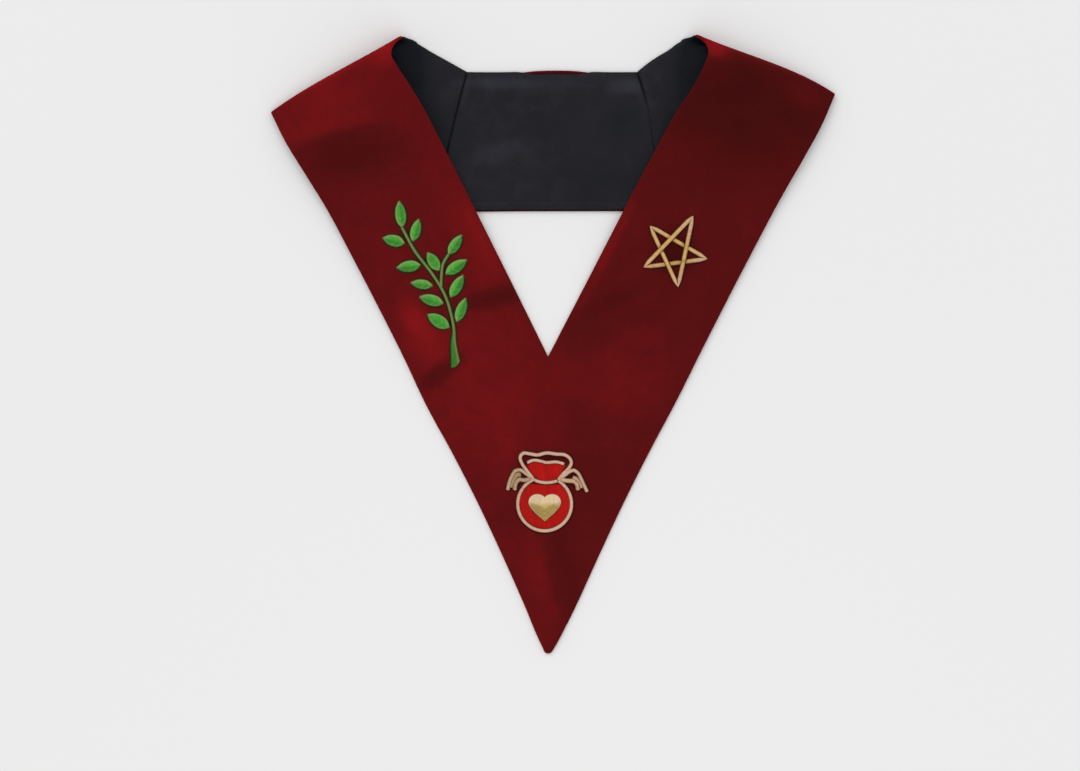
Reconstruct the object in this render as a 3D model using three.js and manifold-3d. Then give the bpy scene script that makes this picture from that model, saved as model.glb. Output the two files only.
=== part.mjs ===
import * as THREE from "three";
import { mergeVertices } from "three/addons/utils/BufferGeometryUtils.js";
import Module from "manifold-3d";

// A V collar of dark red velvet, lined with black satin, lying on a flat surface with its front up.
// The cloth is one strip that runs from the V over each shoulder in a soft roll and lies under itself
// behind the neck. Millimetres, +X to the right, +Y towards the back of the neck, +Z up.

// Cloth. VELVET is the pile cloth with its stiffener, and the hems are what it shows where it is
// turned over the edges to the lining side.
const BAND_WIDTH = 102;
const VELVET = 1;
const LINING = 0.7;
const LINING_RECESS = 0.2;
const OUTER_HEM = 5;
const NECK_HEM = 1.6;
const EDGE_ROUND = 0.5;
const CLEARANCE = 0.3;
const CLOTH = VELVET + CLEARANCE + LINING + LINING_RECESS;

// Plan of the collar as it lies, measured from the V's inner corner. The rise is how far the shoulder
// folds reach past the back neck edge, and the fold's angle is down from the line across the shoulders.
const NECK_LENGTH = 209;
const NECK_WIDTH = 217;
const SHOULDER_RISE = 27;
const SHOULDER_BOW = 1.6;
const BACK_LENGTH = 125;
const SEAM_SLANT = 24.3;
const FOLD_ANGLE = 27.4;
const FOLD_LENGTH = BAND_WIDTH * 1.088;
const TIP_DROP = BAND_WIDTH * 2.14;
const TIP_RADIUS = 3.4;

// Shoulder rolls: their radii to the middle of the cloth at the neck and at the outer corner, and how
// far along the fold the neck edge swings over the roll's crest and under it.
const NECK_ROLL_RADIUS = 11;
const CORNER_ROLL_RADIUS = 1.5;
const CREST_SWING = 14;
const UNDER_SWING = 7.4;

// How each lappet lies, from its shoulder roll to the centre line. down is the share of that length,
// neckIn and outerIn are how far its edges stand in towards the neck opening and from the straight
// outer edge, in shares of the band's width, and the rises are shares of the roll's height there.
const LEFT_LIE = [
  { down: 0, neckIn: 0, outerIn: 0, neckRise: 1, middleRise: 1, outerRise: 1 },
  { down: 0.05, neckIn: 0.01, outerIn: -0.002, neckRise: 0.97, middleRise: 1.02, outerRise: 1.7 },
  { down: 0.11, neckIn: 0.024, outerIn: 0.02, neckRise: 0.86, middleRise: 0.98, outerRise: 1.9 },
  { down: 0.18, neckIn: 0.033, outerIn: 0.045, neckRise: 0.7, middleRise: 0.8, outerRise: 1.2 },
  { down: 0.26, neckIn: 0.032, outerIn: 0.052, neckRise: 0.53, middleRise: 0.58, outerRise: 0.7 },
  { down: 0.35, neckIn: 0.03, outerIn: 0.056, neckRise: 0.38, middleRise: 0.38, outerRise: 0.4 },
  { down: 0.45, neckIn: 0.027, outerIn: 0.055, neckRise: 0.27, middleRise: 0.23, outerRise: 0.15 },
  { down: 0.54, neckIn: 0.024, outerIn: 0.044, neckRise: 0.18, middleRise: 0.13, outerRise: 0 },
  { down: 0.63, neckIn: 0.02, outerIn: 0.056, neckRise: 0.1, middleRise: 0.05, outerRise: 0 },
  { down: 0.72, neckIn: 0.016, outerIn: 0.057, neckRise: 0.04, middleRise: 0, outerRise: 0 },
  { down: 0.82, neckIn: 0.011, outerIn: 0.043, neckRise: 0, middleRise: 0, outerRise: 0 },
  { down: 0.91, neckIn: 0.006, outerIn: 0.022, neckRise: 0, middleRise: 0, outerRise: 0 },
  { down: 0.96, neckIn: 0.003, outerIn: 0.005, neckRise: 0, middleRise: 0, outerRise: 0 },
];
const RIGHT_LIE = [
  { down: 0, neckIn: 0, outerIn: 0, neckRise: 1, middleRise: 1, outerRise: 1 },
  { down: 0.05, neckIn: -0.012, outerIn: -0.014, neckRise: 0.96, middleRise: 1, outerRise: 1.5 },
  { down: 0.11, neckIn: -0.009, outerIn: -0.006, neckRise: 0.82, middleRise: 0.9, outerRise: 1.6 },
  { down: 0.18, neckIn: 0.009, outerIn: 0.01, neckRise: 0.63, middleRise: 0.68, outerRise: 1 },
  { down: 0.26, neckIn: 0.014, outerIn: 0.017, neckRise: 0.44, middleRise: 0.46, outerRise: 0.7 },
  { down: 0.35, neckIn: 0.015, outerIn: 0.021, neckRise: 0.31, middleRise: 0.32, outerRise: 0.45 },
  { down: 0.45, neckIn: 0.015, outerIn: 0.021, neckRise: 0.23, middleRise: 0.22, outerRise: 0.3 },
  { down: 0.54, neckIn: 0.013, outerIn: 0.018, neckRise: 0.17, middleRise: 0.14, outerRise: 0.15 },
  { down: 0.63, neckIn: 0.01, outerIn: 0.025, neckRise: 0.1, middleRise: 0.07, outerRise: 0.05 },
  { down: 0.72, neckIn: 0.007, outerIn: 0.024, neckRise: 0.05, middleRise: 0.02, outerRise: 0 },
  { down: 0.82, neckIn: 0.004, outerIn: 0.01, neckRise: 0, middleRise: 0, outerRise: 0 },
  { down: 0.91, neckIn: 0.002, outerIn: -0.007, neckRise: 0, middleRise: 0, outerRise: 0 },
  { down: 0.96, neckIn: 0, outerIn: -0.008, neckRise: 0, middleRise: 0, outerRise: 0 },
];

// The two sides lie a little differently. Each number but sign is a share of the size it is named for,
// foldBulge is a share of the fold's length.
const LEFT = {
  sign: -1, neckWidth: 0.996, rise: 0.98, bow: 0.6, foldAngle: 1.13, foldBulge: 0.02,
  backLength: 0.953, slant: 1.06, lie: LEFT_LIE,
};
const RIGHT = {
  sign: 1, neckWidth: 1.004, rise: 1.02, bow: 1.4, foldAngle: 0.867, foldBulge: 0.032,
  backLength: 1.047, slant: 0.94, lie: RIGHT_LIE,
};

// Cells of the cloth's surface
const CELLS_ACROSS = 7;
const ROLL_STEPS = 8;
const SHOULDER_STEPS = 4;
const TIP_STEPS = 3;

// Shares across the cloth and stages along it
const NECK = 0;
const OUTER = 1;
const CENTRE = 0;
const CREST = 1;
const UNDER = 2;
const SEAM = 3;

// The fold bulges most two thirds of the way out, where this makes its bulge a whole one.
const BULGE_PEAK = 6.75;

// Embroidery
const CORD_WIDTH = 3.1;
const CORD_HEIGHT = 1.6;
const CORD_SIDES = 6;
const SATIN_HEIGHT = 1.2;
const SATIN_ROUND = 0.5;

const BRANCH_HEIGHT = 102.5;
const BRANCH_PLACE = { down: 0.6025, across: 0.6425 };
const STEM_WIDTH = 2.7;
const STEM_END_WIDTH = 7.4;
const STEM_FLARE = 0.24;
const STEM_CURVE = [
  [-0.022, 0], [-0.038, 0.16], [-0.037, 0.28], [-0.094, 0.5], [-0.186, 0.66], [-0.315, 0.83], [-0.408, 1],
];
const TWIG_CURVE = [[-0.118, 0.605], [-0.122, 0.68], [-0.114, 0.74], [-0.086, 0.795]];
const LEAF_LENGTH = 17.6;
const LEAF_WIDTH = 8.6;

// Each leaf: at is its place along its stalk, turn its heading from the stalk's in degrees
// anticlockwise, and stand, length and width its distance from the stalk and its size in shares.
const LEAVES = [
  { stalk: "stem", at: 0.26, turn: 51, stand: 0.1, length: 1.05, width: 1.1 },
  { stalk: "stem", at: 0.29, turn: -31, stand: 0.07, length: 1.07, width: 0.9 },
  { stalk: "stem", at: 0.43, turn: 56, stand: 0.1, length: 1.04, width: 1 },
  { stalk: "stem", at: 0.45, turn: -51, stand: 0.09, length: 1.07, width: 0.95 },
  { stalk: "stem", at: 0.57, turn: 50, stand: 0.18, length: 0.92, width: 0.85 },
  { stalk: "stem", at: 0.645, turn: -1, stand: 0.24, length: 0.92, width: 0.9 },
  { stalk: "stem", at: 0.73, turn: 58, stand: 0.07, length: 1, width: 1.02 },
  { stalk: "stem", at: 0.885, turn: -44, stand: 0.03, length: 0.96, width: 0.9 },
  { stalk: "stem", at: 0.9, turn: 49, stand: 0.12, length: 0.94, width: 1.02 },
  { stalk: "stem", at: 1, turn: -25, stand: 0.03, length: 1.02, width: 0.94 },
  { stalk: "twig", at: 0.36, turn: -52, stand: 0.1, length: 1.07, width: 1 },
  { stalk: "twig", at: 1, turn: 8, stand: 0.03, length: 0.98, width: 0.9 },
];

const STAR_RADIUS = 26.5;
const STAR_PLACE = { down: 0.42, across: 0.485 };
const STAR_TIPS = [
  { bearing: 62.5, reach: 1.11 }, { bearing: -12.8, reach: 0.93 }, { bearing: -84.4, reach: 0.99 },
  { bearing: -153, reach: 0.96 }, { bearing: 134, reach: 0.985 },
];

// The pouch. Its curves are in shares of POUCH_SIZE from its middle.
const POUCH_SIZE = 20.6;
const POUCH_RADIUS = 19.7;
const POUCH_ROUND_RISE = 1.5;
const POUCH_BELOW_NOTCH = 109.9;
const POUCH_OFFSET = -2.4;
const POUCH_NECK_ANGLES = { left: 109, right: 61 };
const MOUTH_CURVE = [
  [-0.35, 0.99], [-0.62, 1.25], [-0.84, 1.59], [-0.88, 1.81], [-0.75, 1.92],
  [-0.57, 1.89], [-0.32, 1.77], [-0.07, 1.88], [0.2, 1.9], [0.48, 1.81],
  [0.78, 1.79], [0.94, 1.62], [0.87, 1.45], [0.65, 1.22], [0.5, 0.96],
];
const LIP_CURVE = [[-0.58, 1.56], [-0.42, 1.63], [-0.04, 1.54], [0.37, 1.54], [0.68, 1.47]];
const TIE_CURVE = [[-0.17, 0.87], [0.07, 0.8], [0.32, 0.86]];
const POUCH_TIE_RISE = 0.72;
const NECK_FILL = [[-0.22, 1.06], [-0.45, 1.34], [-0.02, 1.37], [0.5, 1.3], [0.33, 1.06], [0.07, 1]];
const LEFT_LOOP = [[-0.75, 1.14], [-0.93, 1.27], [-1.1, 1.12], [-1.2, 0.89], [-1.31, 0.55]];
const LEFT_TAIL = [[-0.79, 0.91], [-0.95, 0.91], [-1.1, 0.86], [-1.09, 0.72], [-1.05, 0.57]];
const RIGHT_LOOP = [[0.83, 1.15], [1.06, 1.25], [1.24, 1.11], [1.3, 0.89], [1.4, 0.68], [1.51, 0.5]];
const RIGHT_TAIL = [[0.82, 0.86], [1, 0.82], [1.19, 0.82], [1.19, 0.7], [1.19, 0.54]];
const HEART_WIDTH = 24;
const HEART_HEIGHT = 20.5;
const HEART_BELOW_CENTRE = 1.3;

const FINISH = {
  velvet: new THREE.MeshStandardMaterial({ color: 0x5c1216, roughness: 0.95, metalness: 0 }),
  satin: new THREE.MeshStandardMaterial({ color: 0x23242a, roughness: 0.45, metalness: 0 }),
  leafThread: new THREE.MeshStandardMaterial({ color: 0x3a9a2e, roughness: 0.5, metalness: 0 }),
  stemThread: new THREE.MeshStandardMaterial({ color: 0x5f9a3c, roughness: 0.5, metalness: 0 }),
  goldThread: new THREE.MeshStandardMaterial({ color: 0xd9b97c, roughness: 0.4, metalness: 0.6 }),
  paleCord: new THREE.MeshStandardMaterial({ color: 0xcfa288, roughness: 0.45, metalness: 0.4 }),
  redSatin: new THREE.MeshStandardMaterial({ color: 0xaa1510, roughness: 0.5, metalness: 0 }),
  heartThread: new THREE.MeshStandardMaterial({ color: 0xab8e5a, roughness: 0.45, metalness: 0.5 }),
};

const wasm = await Module();
wasm.setup();

const { lerp, degToRad } = THREE.MathUtils;

function vector(pair, scale = 1) {
  return new THREE.Vector2(pair[0] * scale, pair[1] * scale);
}

// The strip of cloth

function lieOf(side) {
  const rows = side.lie;
  const last = { ...rows[rows.length - 1], down: 1 };
  const stops = [...rows, last];
  const columns = ["neckIn", "outerIn", "neckRise", "middleRise", "outerRise"];
  const values = stops.flatMap((row) => columns.map((name) => row[name]));
  const track = new THREE.CubicInterpolant(stops.map((row) => row.down), values, columns.length);
  return (down) => {
    const found = track.evaluate(down);
    return Object.fromEntries(columns.map((name, index) => [name, found[index]]));
  };
}

LEFT.lieAt = lieOf(LEFT);
RIGHT.lieAt = lieOf(RIGHT);

function foldOf(side) {
  const angle = degToRad(FOLD_ANGLE * side.foldAngle);
  const neckX = side.sign * NECK_WIDTH / 2 * side.neckWidth;
  return {
    corner: new THREE.Vector2(neckX, NECK_LENGTH + SHOULDER_RISE * side.rise),
    along: new THREE.Vector2(side.sign * Math.cos(angle), -Math.sin(angle)),
    inward: new THREE.Vector2(-side.sign * Math.sin(angle), -Math.cos(angle)),
  };
}

function rollRadius(across) {
  return lerp(NECK_ROLL_RADIUS, CORNER_ROLL_RADIUS, across);
}

// A point of the shoulder roll: turn is 0 on its crest and PI underneath.
function rollPoint(side, across, turn) {
  const fold = foldOf(side);
  const radius = rollRadius(across);
  const lean = Math.cos(turn);
  const swing = (CREST_SWING + UNDER_SWING) / 2 * lean + (CREST_SWING - UNDER_SWING) / 2 * lean * lean;
  const bulge = BULGE_PEAK * across * across * (1 - across) * side.foldBulge * FOLD_LENGTH;
  const plan = fold.corner.clone();
  plan.addScaledVector(fold.along, across * FOLD_LENGTH + (1 - across) * swing);
  plan.addScaledVector(fold.inward, radius * (1 - Math.sin(turn)) - bulge);
  return new THREE.Vector3(plan.x, plan.y, CLOTH / 2 + radius * (1 + lean));
}

// The tip is an arc of TIP_RADIUS between the two outer edges, which aim at a point just below it.
function tipOf(side) {
  const crest = rollPoint(side, OUTER, 0);
  const halfAngle = Math.atan2(Math.abs(crest.x), crest.y + TIP_DROP);
  const aim = new THREE.Vector2(0, TIP_RADIUS - TIP_DROP - TIP_RADIUS / Math.sin(halfAngle));
  const start = new THREE.Vector2(crest.x, crest.y);
  const arcShare = TIP_RADIUS / Math.tan(halfAngle) / start.distanceTo(aim);
  return { aim, halfAngle, arcShare, start };
}

function outerEdge(side, down) {
  const tip = tipOf(side);
  if (down <= 1 - tip.arcShare) {
    return tip.start.clone().lerp(tip.aim, down);
  }
  const angle = lerp(tip.halfAngle, Math.PI / 2, (down - 1 + tip.arcShare) / tip.arcShare);
  const x = side.sign * TIP_RADIUS * Math.cos(angle);
  return new THREE.Vector2(x, TIP_RADIUS - TIP_DROP - TIP_RADIUS * Math.sin(angle));
}

function lappetPoint(side, across, down) {
  const crest = rollPoint(side, across, 0);
  const neckCrest = rollPoint(side, NECK, 0);
  const outerCrest = rollPoint(side, OUTER, 0);
  const neck = new THREE.Vector2(neckCrest.x, neckCrest.y).multiplyScalar(1 - down);
  const plan = neck.lerp(outerEdge(side, down), across);
  const straightCrest = new THREE.Vector2(neckCrest.x, neckCrest.y).lerp(
    new THREE.Vector2(outerCrest.x, outerCrest.y), across);
  plan.x += (crest.x - straightCrest.x) * (1 - down);
  plan.y += (crest.y - straightCrest.y) * (1 - down);
  const lie = side.lieAt(down);
  const outward = new THREE.Vector2(neckCrest.y * side.sign, -Math.abs(neckCrest.x)).normalize();
  plan.addScaledVector(outward, -BAND_WIDTH * (lie.neckIn * (1 - across) + lie.outerIn * across));
  const neckHeight = lie.neckRise * rollRadius(NECK);
  const middleHeight = lie.middleRise * rollRadius((NECK + OUTER) / 2);
  const outerHeight = lie.outerRise * rollRadius(OUTER);
  const rise = neckHeight * (1 - across) * (1 - 2 * across)
    + middleHeight * 4 * across * (1 - across)
    + outerHeight * across * (2 * across - 1);
  return new THREE.Vector3(plan.x, plan.y, CLOTH / 2 + 2 * Math.max(0, rise));
}

function seamPoint(side, across, inset) {
  const neckX = BACK_LENGTH / 2 * side.backLength;
  const x = neckX + SEAM_SLANT * side.slant * across - inset;
  return new THREE.Vector3(side.sign * x, NECK_LENGTH - BAND_WIDTH * across, CLOTH / 2);
}

// The middle of the front piece's cloth: travel runs from the centre line over the roll to the seam.
function frontPoint(side, across, travel) {
  if (travel <= CREST) {
    return lappetPoint(side, across, 1 - travel);
  }
  if (travel <= UNDER) {
    return rollPoint(side, across, (travel - CREST) * Math.PI);
  }
  const back = travel - UNDER;
  const under = rollPoint(side, across, Math.PI);
  const bow = 4 * back * (1 - back) * (1 - across) * side.bow * SHOULDER_BOW;
  under.lerp(seamPoint(side, across, -CLEARANCE / 2), back);
  return new THREE.Vector3(under.x, under.y + bow, under.z);
}

function backPoint(side, across, travel) {
  const left = seamPoint(LEFT, across, CLEARANCE / 2);
  return left.lerp(seamPoint(RIGHT, across, CLEARANCE / 2), travel);
}

// One place along the strip: where a share across the cloth lies, and how it is carried off the
// middle of the cloth, with positive offsets towards the velvet side.
function stripPlace(pointAt, side, travel, first, last) {
  const step = 0.002;
  const before = Math.max(first, travel - step);
  const after = Math.min(last, travel + step);
  const tangent = (across) => pointAt(side, across, after).sub(pointAt(side, across, before)).normalize();
  const row = pointAt(side, OUTER, travel).sub(pointAt(side, NECK, travel));
  const edgeShare = (across, distance) => {
    const width = row.length() * Math.sin(tangent(across).angleTo(row));
    return across === NECK ? distance / width : 1 - distance / width;
  };
  const at = (across, offset) => {
    const low = pointAt(side, Math.max(0, across - step), travel);
    const high = pointAt(side, Math.min(1, across + step), travel);
    const normal = tangent(across).cross(high.sub(low)).normalize().multiplyScalar(-side.sign);
    return pointAt(side, across, travel).addScaledVector(normal, offset);
  };
  return { at, edgeShare, width: row.length() };
}

function hemShares(place) {
  const first = place.edgeShare(NECK, NECK_HEM);
  const last = place.edgeShare(OUTER, OUTER_HEM);
  return Array.from({ length: CELLS_ACROSS + 1 }, (_, index) => lerp(first, last, index / CELLS_ACROSS));
}

// The velvet's section is a face turned over at both edges: pairs of a share across and an offset.
function velvetSection(place) {
  const face = CLOTH / 2;
  const inside = face - VELVET;
  const neckRound = place.edgeShare(NECK, EDGE_ROUND);
  const outerRound = place.edgeShare(OUTER, EDGE_ROUND);
  const shares = hemShares(place);
  return [
    [NECK, 0], [neckRound, face],
    ...shares.map((share) => [share, face]),
    [outerRound, face], [OUTER, 0], [outerRound, -face], [shares[CELLS_ACROSS], -face],
    ...shares.toReversed().map((share) => [share, inside]),
    [shares[0], -face], [neckRound, -face],
  ];
}

// The lining's section keeps to the velvet's cells, so that their facets stay apart on the rolls.
function liningSection(place) {
  const face = CLOTH / 2 - VELVET - CLEARANCE;
  const back = LINING_RECESS - CLOTH / 2;
  const shares = hemShares(place);
  shares[0] = place.edgeShare(NECK, NECK_HEM + CLEARANCE);
  shares[CELLS_ACROSS] = place.edgeShare(OUTER, OUTER_HEM + CLEARANCE);
  return [...shares.map((share) => [share, face]), ...shares.toReversed().map((share) => [share, back])];
}

// A closed body through the sections at every place of a strip. Each cell is split along its shorter
// diagonal, so that cells that lie over each other are split alike.
function stripGeometry(places, sectionOf) {
  const rings = places.map((place) => sectionOf(place).map(([share, offset]) => place.at(share, offset)));
  const points = rings.flat();
  const count = rings[0].length;
  const indices = [];
  for (let ring = 0; ring + 1 < rings.length; ring += 1) {
    for (let corner = 0; corner < count; corner += 1) {
      const next = (corner + 1) % count;
      const a = ring * count + corner;
      const b = ring * count + next;
      const c = a + count;
      const d = b + count;
      if (points[b].distanceTo(points[c]) < points[a].distanceTo(points[d])) {
        indices.push(a, b, c, b, d, c);
      } else {
        indices.push(a, b, d, a, d, c);
      }
    }
  }
  const cap = (ring, flip) => {
    const place = places[ring];
    const flat = sectionOf(place).map(([share, offset]) => new THREE.Vector2(share * place.width, offset));
    for (const [a, b, c] of THREE.ShapeUtils.triangulateShape(flat, [])) {
      const corners = flip ? [a, c, b] : [a, b, c];
      indices.push(...corners.map((corner) => ring * count + corner));
    }
  };
  const flipped = true;
  cap(0, !flipped);
  cap(rings.length - 1, flipped);
  const geometry = new THREE.BufferGeometry().setFromPoints(points);
  geometry.setIndex(indices);
  return geometry;
}

function travelsOf(side) {
  const tip = tipOf(side);
  const arc = Array.from({ length: TIP_STEPS }, (_, index) => tip.arcShare * (index + 1) / TIP_STEPS);
  const lappet = side.lie.map((row) => 1 - row.down).toReversed();
  const roll = Array.from({ length: ROLL_STEPS }, (_, index) => CREST + (index + 1) / ROLL_STEPS);
  const under = Array.from({ length: SHOULDER_STEPS }, (_, index) => UNDER + (index + 1) / SHOULDER_STEPS);
  return [...arc, ...lappet, ...roll, ...under];
}

function frontPlaces() {
  const placeAt = (side, travel) => stripPlace(frontPoint, side, travel, CENTRE, SEAM);
  const left = travelsOf(LEFT).toReversed().map((travel) => placeAt(LEFT, travel));
  const right = travelsOf(RIGHT).map((travel) => placeAt(RIGHT, travel));
  return [...left, placeAt(RIGHT, CENTRE), ...right];
}

function backPlaces() {
  const placeAt = (travel) => stripPlace(backPoint, LEFT, travel, 0, 1);
  return [1, 0.5, 0].map(placeAt);
}

// Embroidery, drawn flat and then laid on the front

function clothMesh(name, geometry, material) {
  const mesh = new THREE.Mesh(geometry, material);
  mesh.name = name;
  return mesh;
}

const frontVelvet = clothMesh("front_velvet", stripGeometry(frontPlaces(), velvetSection), FINISH.velvet);

function surfaceHeight(x, y) {
  const highest = 4 * NECK_ROLL_RADIUS + CLOTH;
  const down = new THREE.Raycaster(new THREE.Vector3(x, y, highest), new THREE.Vector3(0, 0, -1));
  return down.intersectObject(frontVelvet)[0].point.z;
}

function laidMesh(name, geometry, material, lift = 0) {
  const place = geometry.attributes.position;
  for (let index = 0; index < place.count; index += 1) {
    const height = surfaceHeight(place.getX(index), place.getY(index));
    place.setZ(index, place.getZ(index) + height + CLEARANCE + lift);
  }
  geometry.computeVertexNormals();
  return clothMesh(name, geometry, material);
}

function positionsOnly(geometry) {
  geometry.deleteAttribute("normal");
  geometry.deleteAttribute("uv");
  return mergeVertices(geometry, 1e-4);
}

function stitchedPad(outline, height = SATIN_HEIGHT) {
  const geometry = new THREE.ExtrudeGeometry(new THREE.Shape(outline), {
    depth: height - SATIN_ROUND,
    bevelThickness: SATIN_ROUND,
    bevelSize: SATIN_ROUND,
    bevelOffset: -SATIN_ROUND,
    bevelSegments: 1,
    steps: 1,
  });
  const place = geometry.attributes.position;
  for (let index = 0; index < place.count; index += 1) {
    place.setZ(index, Math.max(0, place.getZ(index)));
  }
  return positionsOnly(geometry);
}

function planCurve(points) {
  return new THREE.CatmullRomCurve3(points.map((point) => new THREE.Vector3(point.x, point.y, 0)));
}

function cordGeometry(points, steps) {
  const ring = Array.from({ length: CORD_SIDES }, (_, index) => {
    const angle = (index + 0.5) / CORD_SIDES * 2 * Math.PI;
    return new THREE.Vector2(Math.cos(angle), Math.sin(angle)).multiplyScalar(CORD_WIDTH / 2);
  });
  const extrudePath = planCurve(points);
  const geometry = new THREE.ExtrudeGeometry(new THREE.Shape(ring), { steps, extrudePath });
  geometry.scale(1, 1, CORD_HEIGHT / CORD_WIDTH);
  geometry.translate(0, 0, CORD_HEIGHT / 2);
  return positionsOnly(geometry);
}

function joined(geometries) {
  const solids = geometries.map((geometry) => new wasm.Manifold(new wasm.Mesh({
    numProp: 3,
    vertProperties: new Float32Array(geometry.attributes.position.array),
    triVerts: new Uint32Array(geometry.index.array),
  })));
  const mesh = solids.reduce((whole, solid) => whole.add(solid)).getMesh();
  const geometry = new THREE.BufferGeometry();
  geometry.setAttribute("position", new THREE.BufferAttribute(new Float32Array(mesh.vertProperties), 3));
  geometry.setIndex(Array.from(mesh.triVerts));
  return geometry;
}

function lappetSpot(side, place) {
  const spot = lappetPoint(side, place.across, place.down);
  return new THREE.Vector2(spot.x, spot.y);
}

// Branch

function stalkOutline(curve, startWidth, width) {
  const steps = 14;
  const sides = [[], []];
  for (let step = 0; step <= steps; step += 1) {
    const share = step / steps;
    const centre = curve.getPointAt(share);
    const heading = curve.getTangentAt(share);
    const swell = Math.max(0, 1 - share / STEM_FLARE);
    const half = lerp(width, startWidth, swell) / 2;
    sides[0].push(new THREE.Vector2(centre.x + heading.y * half, centre.y - heading.x * half));
    sides[1].unshift(new THREE.Vector2(centre.x - heading.y * half, centre.y + heading.x * half));
  }
  return sides.flat();
}

function leafOutline(base, heading, length, width) {
  const rows = [[0, 0], [0.12, 0.3], [0.3, 0.5], [0.55, 0.46], [0.82, 0.22], [1, 0]];
  const right = rows.map(([share, half]) => new THREE.Vector2(share * length, -half * width));
  const left = rows.slice(1, -1).map(([share, half]) => new THREE.Vector2(share * length, half * width));
  const middle = new THREE.Vector2();
  return [...right, ...left.toReversed()].map((point) => point.rotateAround(middle, heading).add(base));
}

function branchMeshes() {
  const foot = lappetSpot(LEFT, BRANCH_PLACE);
  const stalkCurve = (pairs) => planCurve(pairs.map((pair) => vector(pair, BRANCH_HEIGHT).add(foot)));
  const stalks = { stem: stalkCurve(STEM_CURVE), twig: stalkCurve(TWIG_CURVE) };
  const stem = stalkOutline(stalks.stem, STEM_END_WIDTH, STEM_WIDTH);
  const twig = stalkOutline(stalks.twig, STEM_WIDTH, STEM_WIDTH);
  const meshes = [
    laidMesh("branch_stem", stitchedPad(stem), FINISH.stemThread),
    laidMesh("branch_twig", stitchedPad(twig), FINISH.stemThread),
  ];
  LEAVES.forEach((leaf, index) => {
    const stalk = stalks[leaf.stalk];
    const root = stalk.getPointAt(leaf.at);
    const tangent = stalk.getTangentAt(leaf.at);
    const grow = Math.atan2(tangent.y, tangent.x);
    const heading = grow + degToRad(leaf.turn);
    const standing = STEM_WIDTH / 2 + CLEARANCE + leaf.stand * LEAF_LENGTH;
    const aside = leaf.at === 1 ? grow : grow + Math.sign(leaf.turn) * Math.PI / 2;
    const base = new THREE.Vector2(Math.cos(aside), Math.sin(aside)).multiplyScalar(standing).add(root);
    const outline = leafOutline(base, heading, leaf.length * LEAF_LENGTH, leaf.width * LEAF_WIDTH);
    meshes.push(laidMesh(`leaf_${index + 1}`, stitchedPad(outline), FINISH.leafThread));
  });
  return meshes;
}

// Star

function starMesh() {
  const centre = lappetSpot(RIGHT, STAR_PLACE);
  const tips = STAR_TIPS.map(({ bearing, reach }) => {
    const angle = degToRad(bearing);
    const length = STAR_RADIUS * reach;
    return new THREE.Vector2(Math.cos(angle), Math.sin(angle)).multiplyScalar(length).add(centre);
  });
  const strands = tips.map((tip, index) => {
    const end = tips[(index + 2) % tips.length];
    return cordGeometry([tip, tip.clone().lerp(end, 0.5), end], 4);
  });
  return laidMesh("star", joined(strands), FINISH.goldThread);
}

// Pouch

function arcPoints(centre, radius, from, to, steps) {
  return Array.from({ length: steps + 1 }, (_, index) => {
    const angle = degToRad(lerp(from, to, index / steps));
    return new THREE.Vector2(Math.cos(angle), Math.sin(angle)).multiplyScalar(radius).add(centre);
  });
}

function pouchMeshes() {
  const centre = new THREE.Vector2(POUCH_OFFSET, -POUCH_BELOW_NOTCH);
  const round = new THREE.Vector2(centre.x, centre.y + POUCH_ROUND_RISE);
  const placed = (pairs) => pairs.map((pair) => vector(pair, POUCH_SIZE).add(centre));
  const { left, right } = POUCH_NECK_ANGLES;
  const body = arcPoints(round, POUCH_RADIUS, left, right + 360, 28);
  const fillTop = centre.y + POUCH_TIE_RISE * POUCH_SIZE;
  const fill = arcPoints(round, POUCH_RADIUS - CORD_WIDTH / 2 - CLEARANCE, left, left + 360, 28).slice(1);
  fill.forEach((point) => {
    point.y = Math.min(point.y, fillTop);
  });
  const outline = joined([cordGeometry(body, 40), cordGeometry(placed(MOUTH_CURVE), 36)]);
  const knot = (loop, tail) => joined([cordGeometry(placed(loop), 12), cordGeometry(placed(tail), 8)]);
  return [
    laidMesh("pouch_body", stitchedPad(fill), FINISH.redSatin),
    laidMesh("pouch_neck", stitchedPad(placed(NECK_FILL)), FINISH.redSatin),
    laidMesh("pouch_outline", outline, FINISH.paleCord),
    laidMesh("pouch_lip", cordGeometry(placed(LIP_CURVE), 10), FINISH.paleCord),
    laidMesh("pouch_tie", cordGeometry(placed(TIE_CURVE), 6), FINISH.paleCord),
    laidMesh("knot_left", knot(LEFT_LOOP, LEFT_TAIL), FINISH.paleCord),
    laidMesh("knot_right", knot(RIGHT_LOOP, RIGHT_TAIL), FINISH.paleCord),
    heartMesh(centre),
  ];
}

function heartMesh(centre) {
  const middle = new THREE.Vector2(centre.x, centre.y - HEART_BELOW_CENTRE);
  const half = HEART_WIDTH / 2;
  const up = HEART_HEIGHT / 2;
  const shape = new THREE.Shape();
  shape.moveTo(0, -up);
  shape.bezierCurveTo(half * 0.5, -up * 0.45, half, -up * 0.05, half, up * 0.4);
  shape.bezierCurveTo(half, up * 1.15, half * 0.2, up * 1.25, 0, up * 0.72);
  shape.bezierCurveTo(-half * 0.2, up * 1.25, -half, up * 1.15, -half, up * 0.4);
  shape.bezierCurveTo(-half, -up * 0.05, -half * 0.5, -up * 0.45, 0, -up);
  const outline = shape.getPoints(6).slice(0, -1).map((point) => point.add(middle));
  return laidMesh("heart", stitchedPad(outline), FINISH.heartThread, SATIN_HEIGHT + CLEARANCE);
}

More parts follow.
